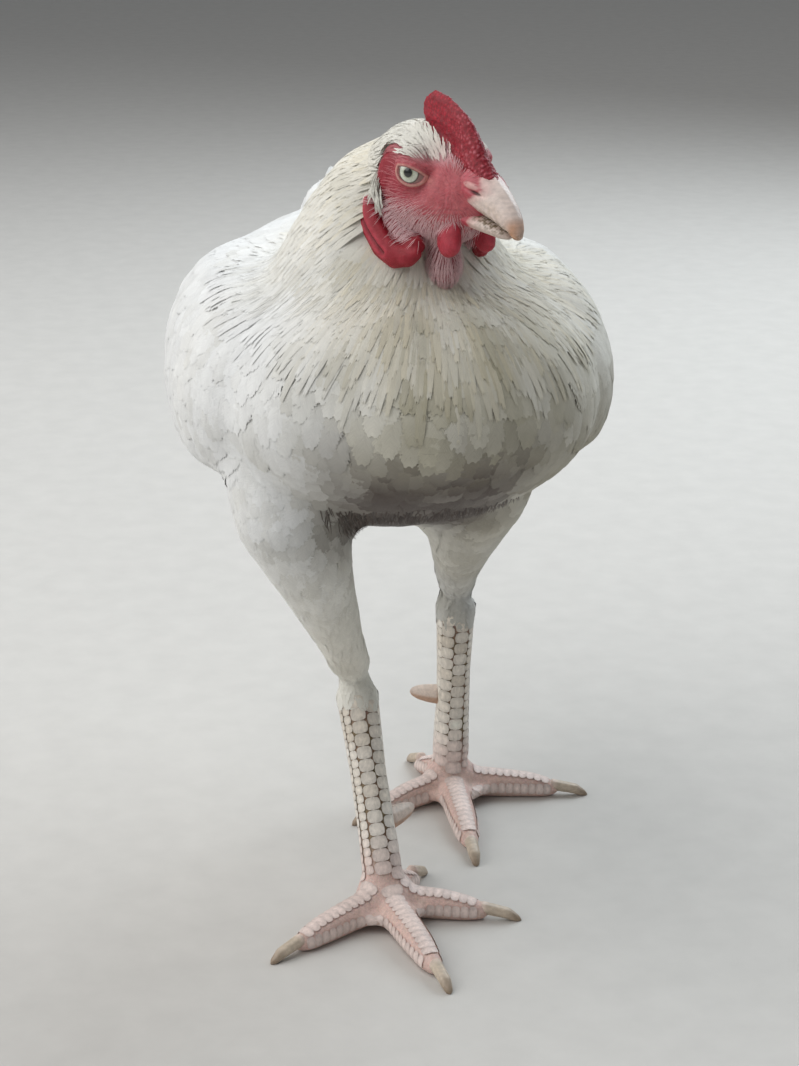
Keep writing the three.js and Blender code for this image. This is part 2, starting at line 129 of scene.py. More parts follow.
# %% Read, write and blend
def points_of(mesh):
    flat = np.empty(len(mesh.vertices) * 3, np.float32)
    mesh.vertices.foreach_get("co", flat)
    return flat.reshape(-1, 3).astype(float)


def normals_of(mesh):
    flat = np.empty(len(mesh.vertices) * 3, np.float32)
    mesh.vertices.foreach_get("normal", flat)
    return flat.reshape(-1, 3).astype(float)


def put_points(mesh, points):
    mesh.vertices.foreach_set("co", np.asarray(points, np.float32).ravel())
    mesh.update()


def unit(vectors):
    return vectors / np.maximum(np.linalg.norm(vectors, axis=-1, keepdims=True), 1e-12)


def smoothstep(low, high, values):
    share = np.clip((np.asarray(values, float) - low) / (high - low), 0, 1)
    return share * share * (3 - 2 * share)


def bump(values, middle, spread):
    """A soft hill of height 1 that fades out at about two spreads from its middle."""
    return np.exp(-(((np.asarray(values, float) - middle) / spread) ** 2))


def soft_noise(points, size, seed):
    """Smooth noise from -1 to 1, whose patches are about size across, in the units of the points."""
    source = np.random.default_rng(seed)
    total = 0
    for _ in range(7):
        wave = unit(source.normal(size=3)) * (2 * math.pi / size) * source.uniform(0.6, 1.5)
        total = total + np.sin(points @ wave + source.uniform(0, 2 * math.pi))
    return total / 3.2


print("arrays can be read from a mesh, blended and written back")


# %% Pieces from meshes
def object_of(name, mesh):
    piece = bpy.data.objects.new(name, mesh)
    bpy.context.scene.collection.objects.link(piece)
    return piece


def with_modifiers_applied(piece):
    """Turns what the modifiers show into the piece's own mesh."""
    shown = piece.evaluated_get(bpy.context.evaluated_depsgraph_get())
    mesh = bpy.data.meshes.new_from_object(shown)
    piece.modifiers.clear()
    old = piece.data
    piece.data = mesh
    bpy.data.meshes.remove(old)
    mesh.name = piece.name
    return piece


def mesh_of(shape, name):
    """Ends the work on a bmesh and gives it back as a mesh."""
    mesh = bpy.data.meshes.new(name)
    shape.to_mesh(mesh)
    shape.free()
    return mesh


def shade_smooth(mesh):
    mesh.polygons.foreach_set("use_smooth", [True] * len(mesh.polygons))


print("tools ready")

# %% [markdown]
# ## Flesh under the plumage
# A live bird is one continuous skin, so the flesh solids can't stay apart. They are copied, thickened until
# they touch, and remeshed into one body on an even grid. A coarse grid comes first for the parts under the
# plumage: smoothing there takes out every facet of the solids. The body then shrinks by the depth of its
# coat, because the feathers will fill that space again, out to the outline that the solids give.

# %% Copy, join and remesh solids
TOUCHING = 0.35 * MM
THINNED = 0.6 * MM


def grown_copy(shape, node, by=TOUCHING):
    """Adds a node's solid to a bmesh, with each point moved out along its normal."""
    own = bmesh.new()
    own.from_mesh(frame["nodes"][node].data)
    bmesh.ops.remove_doubles(own, verts=own.verts, dist=0.01 * MM)
    own.normal_update()
    moved = [vert.co + vert.normal * by for vert in own.verts]
    for vert, place in zip(own.verts, moved):
        vert.co = place
    scratch = bpy.data.meshes.new("scratch")
    own.to_mesh(scratch)
    shape.from_mesh(scratch)
    own.free()
    bpy.data.meshes.remove(scratch)


def remeshed(name, nodes, voxel, thinned=(), extra=()):
    """One closed surface round all the nodes, round some thinned first, and round any extra meshes."""
    shape = bmesh.new()
    for node in nodes:
        grown_copy(shape, node)
    for node in thinned:
        grown_copy(shape, node, -THINNED)
    for mesh in extra:
        shape.from_mesh(mesh)
    piece = object_of(name, mesh_of(shape, name))
    remesh = piece.modifiers.new("one surface", "REMESH")
    remesh.mode = "VOXEL"
    remesh.voxel_size = voxel
    return with_modifiers_applied(piece)


def smoothed(piece, times, factor=0.5):
    smooth = piece.modifiers.new("smooth", "SMOOTH")
    smooth.factor = factor
    smooth.iterations = times
    return with_modifiers_applied(piece)


PLUMED = ["neck", "trunk", "tail", "wing_left", "wing_right", "thigh_left", "thigh_right"]
JOINED_ON = ["head", "shank_left", "shank_right"]
body = smoothed(remeshed("body under the coat", PLUMED + JOINED_ON, 3.4 * MM), 11)
report(body)

# %% [markdown]
# The depth of the coat differs over the bird, and it must change gradually or the skin gets steps. Each
# point of the smoothed body asks which solid is nearest and takes its depth. The depths are then averaged
# with those of the neighbours a number of times.

# %% Shrink by the depth of the coat
# in millimetres
COAT_DEPTH = {"neck": 6, "trunk": 7, "tail": 9, "wing_left": 6, "wing_right": 6, "thigh_left": 3.4,
              "thigh_right": 3.4, "head": 4.5, "shank_left": 2.6, "shank_right": 2.6}
CROWN_DEPTH = 1.5


def tree_of(nodes):
    """A search tree over the solids, and for each of its triangles the number of its solid."""
    verts, faces, owner = [], [], []
    for number, node in enumerate(nodes):
        mesh = frame["nodes"][node].data
        start = len(verts)
        verts += [vert.co.copy() for vert in mesh.vertices]
        faces += [[start + i for i in face.vertices] for face in mesh.polygons]
        owner += [number] * len(mesh.polygons)
    return BVHTree.FromPolygons(verts, faces), np.array(owner)


def nearest_nodes(points, nodes):
    tree, owner = tree_of(nodes)
    return owner[[tree.find_nearest(Vector(point))[2] for point in points]]


def averaged(mesh, values, times):
    """Averages a value with those of each point's neighbours, a number of times."""
    edges = np.empty(len(mesh.edges) * 2, np.int64)
    mesh.edges.foreach_get("vertices", edges)
    a, b = edges.reshape(-1, 2).T
    count = np.bincount(a, minlength=len(values)) + np.bincount(b, minlength=len(values))
    for _ in range(times):
        total = (np.bincount(a, values[b], minlength=len(values))
                 + np.bincount(b, values[a], minlength=len(values)))
        values = 0.5 * values + 0.5 * total / np.maximum(count, 1)
    return values


body_points = points_of(body.data)
COVERED = list(COAT_DEPTH)
depth = np.array(list(COAT_DEPTH.values()))[nearest_nodes(body_points, COVERED)]
coat_depth = averaged(body.data, depth, 10)
put_points(body.data, body_points - normals_of(body.data) * coat_depth[:, None] * MM)
report(body)

# %% [markdown]
# ## The head and the legs
# These are mostly bare, so they are remeshed much finer. The rounded skull is smoothed hard, to lose the
# facets of its solid, while the thin comb, wattles and earlobes are smoothed little, or they would waste
# away. A second remesh then grows them together, with the soft fillets that living flesh has. Balls of flesh
# fill the notches where solids meet end to end: in front of each earlobe, and at each hock.

# %% A fine mesh for the head
HEAD_VOXEL = 0.55 * MM
LOBES = ["comb", "wattle_left", "wattle_right", "earlobe_left", "earlobe_right"]

skull = smoothed(remeshed("skull", ["head", "throat_fold", "eye_left", "eye_right"], HEAD_VOXEL,
                          thinned=["beak_upper", "beak_lower"]), 40)
lobes = smoothed(remeshed("lobes", LOBES, HEAD_VOXEL), 10)


CHEEK_BACK = np.array([-13.5, 14.2, -11.5])
CHEEK_FRONT = np.array([5.0, 11.8, -24.0])
CHEEK_SAG = 3.6


def add_ball(shape, place, radius):
    """Adds a ball to a bmesh, with its radius in millimetres."""
    bmesh.ops.create_icosphere(shape, subdivisions=3, radius=radius * MM,
                               matrix=Matrix.Translation(Vector(place)))


def cheek_flesh():
    """Balls of flesh that join each earlobe to the cheek in front of it."""
    shape = bmesh.new()
    for sign in SIDES.values():
        for share in np.linspace(0, 1, 9):
            f, s, u = CHEEK_BACK * (1 - share) + CHEEK_FRONT * share
            u -= CHEEK_SAG * math.sin(math.pi * share)
            add_ball(shape, from_head([f, sign * s, u]), 3.3)
    return mesh_of(shape, "cheek flesh")


head_meshes = [skull.data, lobes.data, cheek_flesh()]
head_skin = smoothed(remeshed("head skin", [], HEAD_VOXEL, extra=head_meshes), 5)
for piece in (skull, lobes):
    bpy.data.objects.remove(piece)
report(head_skin)


# %% A fine mesh for the legs
LEG_VOXEL = 1.1 * MM
LEG_PARTS = ("shank", "foot", *(f"toe_{toe}" for toe in TOES))
BARE_LEG = [f"{part}_{side}" for side in SIDES for part in LEG_PARTS]
# how far beyond the top of the shank, towards the thigh's top, each ball stands, and its radius, in
# millimetres
HOCK_BALLS = ((-2.0, 6.0), (2.0, 5.6), (6.0, 4.8), (10.0, 4.2))


def ends_of(node):
    """The two ends of a long solid's middle line, the higher one first."""
    points = points_of(frame["nodes"][node].data)
    middle = points.mean(axis=0)
    axis = np.linalg.svd(points - middle, full_matrices=False)[2][0]
    reach = (points - middle) @ axis
    low, high = middle + axis * reach.min(), middle + axis * reach.max()
    return (low, high) if low[2] > high[2] else (high, low)


def hock_flesh():
    """Rounded flesh that leads from the narrow end of each thigh to the wider top of its shank."""
    shape = bmesh.new()
    for side in SIDES:
        thigh_top, thigh_end = ends_of(f"thigh_{side}")
        shank_top = ends_of(f"shank_{side}")[0]
        for step, radius in HOCK_BALLS:
            add_ball(shape, shank_top + unit(thigh_top - thigh_end) * step * MM, radius)
    return mesh_of(shape, "hock flesh")


legs_skin = smoothed(remeshed("legs skin", BARE_LEG, LEG_VOXEL, extra=[hock_flesh()]), 26)
report(legs_skin)

# %% [markdown]
# ## Sculpting the head
# The lids, folds, brow, crease of the earlobe and pebbles of the comb are too fine for the solids. Each is a
# small rule that says how far a point of the skin moves, from where the point is on the head. That keeps
# both sides alike, and every size below can be read in millimetres.

# %% The opening between the lids
EYE_RADIUS = 7.0
EYE_CENTRE = np.array([-0.2, 10.6, 0.2])
SIGHT = unit(np.array([0.48, 0.87, 0.12]))
EYE_AHEAD = unit(np.cross(SIGHT, [0, 0, 1]))
EYE_OVER = np.cross(EYE_AHEAD, SIGHT)
LID_OUTSIDE = 7.45
LID_INSIDE = 6.1
NEAR_EYE = 12
OPENING_LONG = 4.5
OPENING_HIGH = 3.25


def mirrored(fsu):
    """Folds both sides of the head onto the left side, so that one rule serves both."""
    return np.stack([fsu[:, 0], np.abs(fsu[:, 1]), fsu[:, 2]], axis=1)


def unmirrored(fsu, original):
    """Puts points that were folded onto the left side back on the side that they came from."""
    fsu[:, 1] *= np.where(original[:, 1] < 0, -1, 1)
    return fsu


def past_the_lids(x, y):
    """How far, in millimetres, a place on the eyeball is outside the opening between the lids. The lower lid
    is round and the upper one nearly straight, which gives a stern look."""
    along, over = (x - 0.4) / OPENING_LONG, (y + 0.1) / OPENING_HIGH
    rim = np.hypot(along, over)
    round_below = (rim - 1) * rim / np.maximum(np.hypot(along / OPENING_LONG, over / OPENING_HIGH), 0.05)
    straight_above = y - 1.5 + 0.055 * (x + 0.8) ** 2
    return np.maximum(round_below, straight_above)


def seen_from_the_eye(fsu):
    """For each point, its direction and distance from the nearer eye, and how far it is past the lids."""
    away = mirrored(fsu) - EYE_CENTRE
    distance = np.linalg.norm(away, axis=1)
    outward = away / distance[:, None]
    past = past_the_lids(outward @ EYE_AHEAD * EYE_RADIUS, outward @ EYE_OVER * EYE_RADIUS)
    return outward, distance, np.where(outward @ SIGHT > 0.05, past, 9.0)


def shape_lids(fsu, reach):
    """Lays the skin over the eyeball as lids, and sinks it behind the eyeball in the opening."""
    outward, distance, past = seen_from_the_eye(fsu)
    height = LID_INSIDE + (LID_OUTSIDE - LID_INSIDE) * smoothstep(-0.25, 0.3, past)
    height += 0.25 * bump(past, 0.8, 0.45)
    share = smoothstep(reach, 0.25 * reach, past) * smoothstep(0.1, 0.4, outward @ SIGHT)
    share = np.where(distance < NEAR_EYE, share, 0)[:, None]
    moved = mirrored(fsu) * (1 - share) + (EYE_CENTRE + outward * height[:, None]) * share
    reaches = np.linalg.norm(moved - EYE_CENTRE, axis=1)
    covers = np.where(past > 0.2, np.maximum(reaches, LID_OUTSIDE - 0.1), reaches)
    return unmirrored(EYE_CENTRE + (moved - EYE_CENTRE) * (covers / reaches)[:, None], fsu)


print("the opening between the lids is", 2 * OPENING_LONG, "mm long")


# %% Close the lids over the eyeballs
def refined_near_eyes(mesh, reach):
    """Cuts the faces round each eye finer, so that the lids get a crisp edge."""
    shape = bmesh.new()
    shape.from_mesh(mesh)
    fsu = to_head([vert.co for vert in shape.verts])
    _, distance, past = seen_from_the_eye(fsu)
    close = (past < reach) & (distance < NEAR_EYE)
    edges = [edge for edge in shape.edges if close[edge.verts[0].index] and close[edge.verts[1].index]]
    bmesh.ops.subdivide_edges(shape, edges=edges, cuts=1, use_grid_fill=True)
    shape.to_mesh(mesh)
    shape.free()


def smoothed_near_eyes(piece, times):
    _, distance, past = seen_from_the_eye(to_head(points_of(piece.data)))
    weight = smoothstep(8, 5, past) * smoothstep(14, 11, distance)
    group = piece.vertex_groups.new(name="eyes")
    for index in np.nonzero(weight > 0)[0]:
        group.add([int(index)], float(weight[index]), "REPLACE")
    smooth = piece.modifiers.new("smooth", "SMOOTH")
    smooth.vertex_group = "eyes"
    smooth.iterations = times
    with_modifiers_applied(piece)
    piece.vertex_groups.clear()


refined_near_eyes(head_skin.data, 3.0)
for reach in (5.0, 2.0):
    put_points(head_skin.data, from_head(shape_lids(to_head(points_of(head_skin.data)), reach)))
    smoothed_near_eyes(head_skin, 6 if reach > 2 else 1)
report(head_skin)

# %% [markdown]
# The comb and the bare face are covered in small round pebbles of flesh. A cell pattern gives them: points
# are scattered in space, one to a cell, and the pattern is high in the middle of each cell and low along the
# seams between neighbours. Folds are drawn as lines on the side of the head, and each line pushes the skin
# in or out by its distance.

# %% Pebbles and lines
COARSE, FINE, FINEST = (3.4, 1.0), (1.5, 2.0), (1.05, 3.0)


def pebbles(points, size, seed):
    """Round bumps packed side by side, each about size across: near 1 in their middles, 0 in the seams."""
    places = points / size
    corner = np.floor(places)
    nearest = np.full(len(points), 9.0)
    second = np.full(len(points), 9.0)
    for x in (-1, 0, 1):
        for y in (-1, 0, 1):
            for z in (-1, 0, 1):
                cell = corner + (x, y, z)
                jitter = np.stack([np.modf(np.abs(np.sin(cell @ key + seed) * 4375.85))[0] for key in
                                   ((12.7, 31.1, 7.4), (26.9, 18.3, 24.6), (11.3, 7.1, 15.7))], axis=1)
                distance = np.linalg.norm(cell + 0.15 + 0.7 * jitter - places, axis=1)
                second = np.minimum(second, np.maximum(nearest, distance))
                nearest = np.minimum(nearest, distance)
    return np.clip((second - nearest) * 1.6, 0, 1)


def from_line(places, line):
    """How far each place is from a line through some corners."""
    best = np.full(len(places), 1e9)
    for a, b in zip(np.array(line[:-1], float), np.array(line[1:], float)):
        share = np.clip((places - a) @ (b - a) / ((b - a) @ (b - a)), 0, 1)
        best = np.minimum(best, np.linalg.norm(places - a - share[:, None] * (b - a), axis=1))
    return best


print("pebbles are", COARSE[0], FINE[0], "and", FINEST[0], "mm across")

# %% Comb, wattles, earlobes and throat
HEAD_PARTS = ["head", "throat_fold", *LOBES]


def head_shares(mesh, blur=3):
    """For each point of a mesh, how much it belongs to comb, wattles, earlobes and throat fold."""
    nearest = nearest_nodes(points_of(mesh), HEAD_PARTS)
    groups = {"comb": ("comb",), "wattle": ("wattle_left", "wattle_right"),
              "earlobe": ("earlobe_left", "earlobe_right"), "throat": ("throat_fold",)}
    shares = {name: averaged(mesh, np.isin(nearest, [HEAD_PARTS.index(n) for n in nodes]).astype(float), blur)
              for name, nodes in groups.items()}
    shares["comb"] = np.maximum(shares["comb"], comb_foot(to_head(points_of(mesh))))
    return shares


COMB_FOOT = [(-9.0, 10.6), (-7.5, 9.8), (3.2, 6.8), (9.4, 4.8), (16.8, 1.6), (20.0, 3.4), (25.3, 4.9)]


def comb_foot(fsu):
    """The pad of red skin from which the comb rises, wider than the blade."""
    f, s, u = mirrored(fsu).T
    line = np.interp(f, *np.array(COMB_FOOT).T)
    return smoothstep(-0.7, 0.7, u - line) * smoothstep(6.2, 4.8, s) * smoothstep(-12, -9, f)


print("the pad under the comb runs forward to", COMB_FOOT[-1][0], "mm")

# %% Folds and creases
GAPE_LINES = [([(9, -11.6), (12, -10.6), (16, -9.2), (21, -8.2)], 0.2),
              ([(10, -13.8), (13, -12.9), (17, -12.0), (20, -11.6)], 0.13),
              ([(12, -9.2), (15, -8.0), (18, -7.0), (21, -6.4)], 0.12)]
EARLOBE_CREASE = [(-17.2, -15.5), (-13.6, -20.5), (-7.5, -24.6), (-1.5, -28.0)]


def sculpted(fsu, shares):
    """How far, in millimetres, each point of the head moves out along its normal."""
    side = mirrored(fsu)
    f, s, u = side.T
    _, _, past = seen_from_the_eye(fsu)
    beside = smoothstep(5, 9, s) * (1 - shares["comb"]) * (1 - shares["earlobe"]) * (1 - shares["wattle"])
    move = 0.9 * bump(f, 3, 6) * bump(u, 6.6 - 0.33 * f, 2.0) * beside
    for fold, depth in ((2.0, 0.2), (3.1, 0.16), (4.3, 0.12)):
        below = smoothstep(1.5, -1.5, u) + 0.5 * smoothstep(1.5, 3.0, u)
        move -= depth * bump(past, fold, 0.36) * below * beside
    move -= 0.5 * bump(f, 15, 3.2) * bump(u, -1.5, 3.0) * beside
    move += 0.5 * bump(f, 8, 6) * bump(u, -9.5, 3.0) * beside
    for line, depth in GAPE_LINES:
        line_distance = from_line(side[:, [0, 2]], line)
        move += depth * (bump(line_distance, 0, 0.5) - 0.8 * bump(line_distance, 0.95, 0.45)) * beside
    crease = from_line(side[:, [0, 2]], EARLOBE_CREASE)
    outer_face = smoothstep(13, 15, s) * shares["earlobe"]
    move -= 1.0 * bump(crease, 0, 0.55) * outer_face
    move += 0.35 * bump(crease, 1.7, 0.9) * outer_face
    coarse, fine, finest = (pebbles(fsu, *size_and_seed) - 0.5 for size_and_seed in (COARSE, FINE, FINEST))
    low_on_comb = smoothstep(14, 7, u) * smoothstep(-6, 12, f)
    move += shares["comb"] * (0.26 * finest + fine * (0.12 + 0.35 * low_on_comb) + 0.2 * coarse)
    bare = beside * smoothstep(0.2, 1.2, past)
    move += bare * (0.10 * fine + 0.16 * coarse)
    move += shares["wattle"] * 0.15 * coarse + shares["throat"] * 0.3 * coarse
    return move


shares = head_shares(head_skin.data)
fsu = to_head(points_of(head_skin.data))
blade = shares["comb"] * smoothstep(9, 16, fsu[:, 2] + 0.25 * fsu[:, 0])
fsu[:, 1] *= 1 - 0.30 * blade
fsu[:, 2] -= 0.9 * smoothstep(8, 16, fsu[:, 0]) * blade
head_points = from_head(fsu)
put_points(head_skin.data, head_points)
move = sculpted(fsu, shares)
put_points(head_skin.data, head_points + normals_of(head_skin.data) * move[:, None] * MM)
print("largest moves, mm:", round(float(move.min()), 2), round(float(move.max()), 2))
report(head_skin)

# %% [markdown]
# ## One skin
# Body, head and legs each have the mesh that suits them. A boolean union makes one closed skin of the
# three, so there is no seam at the neck or the hock, and no second layer inside. The crown sinks by the
# depth of its short feathers first.

# %% Join body, head and legs
CROWN_EDGE = [(-22.0, -3.0), (-20.4, -1.0), (-16.0, 4.6), (-7.0, 7.0), (5.6, 5.2)]


def crown_share(fsu):
    """1 where the head wears feathers, 0 on the bare face, soft in between."""
    f, _, u = mirrored(fsu).T
    above_the_brow = smoothstep(-0.9, 0.9, u - np.interp(f, *np.array(CROWN_EDGE).T)) * smoothstep(14, 6, f)
    behind_the_cheek = smoothstep(-14, -17, f - 0.12 * (u + 4)) * smoothstep(-19, -14, u + 0.4 * (f + 12))
    return np.maximum(above_the_brow, np.maximum(behind_the_cheek, smoothstep(-24, -28, f)))


head_points = points_of(head_skin.data)
bare_parts = shares["comb"] + shares["earlobe"] + shares["wattle"]
sink = CROWN_DEPTH * crown_share(to_head(head_points)) * np.clip(1 - bare_parts, 0, 1)
head_points -= normals_of(head_skin.data) * averaged(head_skin.data, sink, 6)[:, None] * MM
fsu = to_head(head_points)
outward, distance, past = seen_from_the_eye(fsu)
pushed = unmirrored(EYE_CENTRE + outward * np.maximum(distance, LID_OUTSIDE - 0.05)[:, None], fsu)
over_the_eyeball = (past > 0.3) & (distance < LID_OUTSIDE)
put_points(head_skin.data, np.where(over_the_eyeball[:, None], from_head(pushed), head_points))

skin = object_of("skin", body.data.copy())
for part in (head_skin, legs_skin):
    union = skin.modifiers.new("join", "BOOLEAN")
    union.operation = "UNION"
    union.object = part
    union.solver = "MANIFOLD"
with_modifiers_applied(skin)
shade_smooth(skin.data)
report(skin)

# %% [markdown]
# ## Eyeballs
# Each eyeball is a ball whose pole points out of the head, so that its rings of faces are rings round the
# pupil. It sits deep enough for the lids to lie over it. The iris is a shallow dish of fine spokes behind a
# wet, clear surface: here the surface is one glossy coat, and the spokes and rings are painted by how far a
# point is from the line of sight.

# %% Make the eyeballs
def on_side(fsu, sign):
    """A place or direction of the left side of the head, put on the side that sign says."""
    return np.array(fsu) * [1, sign, 1]


def eyeball(side, sign):
    centre = Vector(from_head(on_side(EYE_CENTRE, sign)))
    sight = Vector(on_side(SIGHT, sign) @ HEAD_AXES)
    turn = sight.to_track_quat("Z", "Y").to_matrix().to_4x4()
    shape = bmesh.new()
    bmesh.ops.create_uvsphere(shape, u_segments=64, v_segments=40, radius=EYE_RADIUS * MM,
                              matrix=Matrix.Translation(centre) @ turn)
    mesh = mesh_of(shape, f"eyeball_{side}")
    shade_smooth(mesh)
    piece = object_of(f"eyeball_{side}", mesh)
    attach(piece, "root")
    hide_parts(f"eye_{side}")
    return piece, centre, sight


eyeballs = {side: eyeball(side, sign) for side, sign in SIDES.items()}
for piece, _, _ in eyeballs.values():
    report(piece)

# %% [markdown]
# ## Beak, spurs and claws
# Horn is smooth, so these small solids only need rounding: each is remeshed very finely and smoothed. The
# upper beak then gets its own form. Its ridge is a little raised, its cutting edge waves and overhangs the
# lower beak, and at its root each nostril is a slit under a soft flap. The root of each claw is drawn out
# into its toe, so that no gap shows between horn and skin.

# %% Round the horn
BEAK_VOXEL = 0.32 * MM
CLAW_VOXEL = 0.4 * MM
CLAW_ROOT = 4 * MM


def horn(name, node, voxel, times):
    piece = smoothed(remeshed(name, [node], voxel), times)
    shade_smooth(piece.data)
    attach(piece, "root")
    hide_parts(node)
    return piece


HORN_EDGE = [(5.5, 25.0), (2.2, 28.8), (0.2, 27.0), (-3.2, 22.6), (-5.5, 22.6), (-8.5, 24.0)]


def horn_start(side):
    """How far forward the horn starts at each height. Behind it, the root of the beak is covered by skin."""
    heights, forwards = np.array(sorted(HORN_EDGE)).T
    return np.interp(side[:, 2], heights, forwards)


def beak_move(fsu):
    """How far each point of the upper beak moves out along its normal."""
    f, s, u = mirrored(fsu).T
    beside = smoothstep(2.0, 4.0, s)
    flap = 0.75 * bump(f, 24.2, 3.4) * bump(u, 2.6 - 0.12 * (f - 24), 1.6) * beside
    slit = -1.0 * bump(f, 26.0, 3.2) * bump(u, 0.8 - 0.05 * (f - 26), 0.55) * beside
    ridge = 0.35 * bump(s, 0, 1.4) * smoothstep(-4, 3, u) * smoothstep(22, 30, f)
    hollow = -0.35 * bump(f, 33, 4) * bump(u, -2.5, 1.8) * beside
    edge = 0.3 * bump(u, -7.2 - 0.10 * (f - 25), 0.9) * smoothstep(20, 26, f) * np.sin(f * 0.9)
    return flap + slit + ridge + hollow + edge


beak_upper = horn("beak_top", "beak_upper", BEAK_VOXEL, 16)
points = points_of(beak_upper.data)
put_points(beak_upper.data, points + normals_of(beak_upper.data) * beak_move(to_head(points))[:, None] * MM)
beak_lower = horn("beak_bottom", "beak_lower", BEAK_VOXEL, 16)


def outward_ends(node, side):
    """The two ends of a toe's or claw's middle line, the one nearer the foot first."""
    foot = np.array(middle_of(f"foot_{side}"))
    return sorted(ends_of(node), key=lambda end: np.linalg.norm(end - foot))


claws = []
for side in SIDES:
    for toe in TOES:
        piece = horn(f"nail_{toe}_{side}", f"claw_{toe}_{side}", CLAW_VOXEL, 12)
        root, tip = outward_ends(f"claw_{toe}_{side}", side)
        toe_root, toe_tip = outward_ends(f"toe_{toe}_{side}", side)
        points = points_of(piece.data)
        share = (points - root) @ (tip - root) / np.sum((tip - root) ** 2)
        into_the_toe = (smoothstep(0.6, 0.05, share) * CLAW_ROOT)[:, None]
        put_points(piece.data, points - unit(toe_tip - toe_root) * into_the_toe)
        claws.append(piece)
spurs = [horn(f"leg_spur_{side}", f"spur_{side}", CLAW_VOXEL, 16) for side in SIDES]
for piece in (beak_upper, beak_lower, claws[0], spurs[0]):
    report(piece)

# %% [markdown]
# ## Where feathers grow, and which way they lie
# Feathers don't stand in rows that a grid could give. Their roots are thrown at random over the skin, and a
# new root is kept only where no other is too close, which spaces them as evenly as real ones. A feather
# then follows the lie of the plumage. On a chicken it streams away from the face, down the neck and breast,
# back over the trunk and wings, down the thighs, and out along the tail.

# %% Roots
class Surface:
    """A skin mesh made ready for quick questions: where to scatter, and the nearest point with its normal."""

    def __init__(self, mesh):
        mesh.calc_loop_triangles()
        corners = np.empty(len(mesh.loop_triangles) * 3, np.int64)
        mesh.loop_triangles.foreach_get("vertices", corners)
        self.corners = corners.reshape(-1, 3)
        self.points = points_of(mesh)
        self.normals = unit(normals_of(mesh)[self.corners].mean(axis=1))
        a, b, c = (self.points[self.corners[:, i]] for i in range(3))
        self.areas = np.linalg.norm(np.cross(b - a, c - a), axis=1) / 2
        self.tree = BVHTree.FromPolygons([tuple(p) for p in self.points], self.corners.tolist())

    def nearest(self, places):
        found = [self.tree.find_nearest(Vector(place)) for place in places]
        return np.array([hit[0] for hit in found]), self.normals[[hit[2] for hit in found]]

    def scatter(self, spacing, keep, seed):
        """Random places on the skin, in the order they were kept. spacing(points) is in millimetres."""
        source = np.random.default_rng(seed)
        middles = self.points[self.corners].mean(axis=1)
        gaps = np.asarray(spacing(middles), float) * np.ones(len(middles)) * MM
        odds = self.areas / gaps ** 2 * (keep(middles) > 0)
        count = int(odds.sum() * 4)
        chosen = source.choice(len(odds), size=count, p=odds / odds.sum())
        u, v = source.random((2, count))
        flip = u + v > 1
        u, v = np.where(flip, 1 - u, u), np.where(flip, 1 - v, v)
        a, b, c = (self.points[self.corners[chosen, i]] for i in range(3))
        places = a + (b - a) * u[:, None] + (c - a) * v[:, None]
        near = gaps[chosen]
        allowed = keep(places) > source.random(count)
        cell = gaps[odds > 0].max()
        kept, boxes = [], {}
        for index in range(count):
            if not allowed[index]:
                continue
            x, y, z = (int(c) for c in places[index] // cell)
            close = (other for i in (x - 1, x, x + 1) for j in (y - 1, y, y + 1)
                     for k in (z - 1, z, z + 1) for other in boxes.get((i, j, k), ()))
            px, py, pz = places[index]
            reach = near[index] ** 2
            if all((px - q[0]) ** 2 + (py - q[1]) ** 2 + (pz - q[2]) ** 2 > reach for q in close):
                boxes.setdefault((x, y, z), []).append((px, py, pz))
                kept.append(index)
        return places[kept]


body_surface = Surface(body.data)
head_surface = Surface(head_skin.data)
print("triangles to grow feathers on:", len(body_surface.corners), "of body and",
      len(head_surface.corners), "of head")


# %% The lie of the plumage
def nodes_at(points, nodes):
    return np.array(nodes)[nearest_nodes(points, nodes)]


NAPE_HUB = from_head([-6.0, 0, 4.0])


def lie_of_body(points, parts):
    """The way feathers point, before it is laid along the skin. parts names the solid nearest each point."""
    stream = unit(points - NAPE_HUB)
    back = np.array([0, 1.0, -0.16])
    behind = smoothstep(0.02, 0.16, points[:, 1] - NAPE_HUB[1])[:, None]
    lie = unit(stream * (1 - behind) + back * behind)
    low = smoothstep(0.20, 0.15, points[:, 2])[:, None]
    lie = unit(lie + low * np.array([0, 0.55, -0.1]))
    wings = np.isin(parts, ("wing_left", "wing_right"))[:, None]
    lie = np.where(wings, unit(lie * 0.5 + np.array([0, 1.0, -0.42])), lie)
    lie = np.where((parts == "tail")[:, None], np.array([0, 0.98, 0.15]), lie)
    for side in SIDES:
        down_the_leg = np.array(middle_of(f"shank_{side}")) - points
        on_thigh = (parts == f"thigh_{side}")[:, None]
        lie = np.where(on_thigh, unit(unit(down_the_leg) + np.array([0, 0.25, -0.25])), lie)
    return lie


def lie_of_head(points, parts):
    """On the head everything streams away from the root of the beak."""
    fsu = to_head(points)
    hub = np.array([17.0, 0, -1.0]) * [1, 0, 1] + np.sign(fsu[:, 1:2]) * [0, 8.0, 0]
    away = unit(fsu - hub)
    away = unit(away + smoothstep(-8, -22, fsu[:, 2])[:, None] * np.array([0.1, 0, -0.9]))
    behind = smoothstep(-5, -12, fsu[:, 0]) * smoothstep(-4, 2, fsu[:, 2])
    over_the_nape = unit(np.array([-1.0, 0, -0.45]) + fsu * [0, 0.04, 0])
    away = unit(away * (1 - behind)[:, None] + over_the_nape * behind[:, None])
    return away @ HEAD_AXES


print("hub of the neck feathers at", [round(float(c), 3) for c in NAPE_HUB])

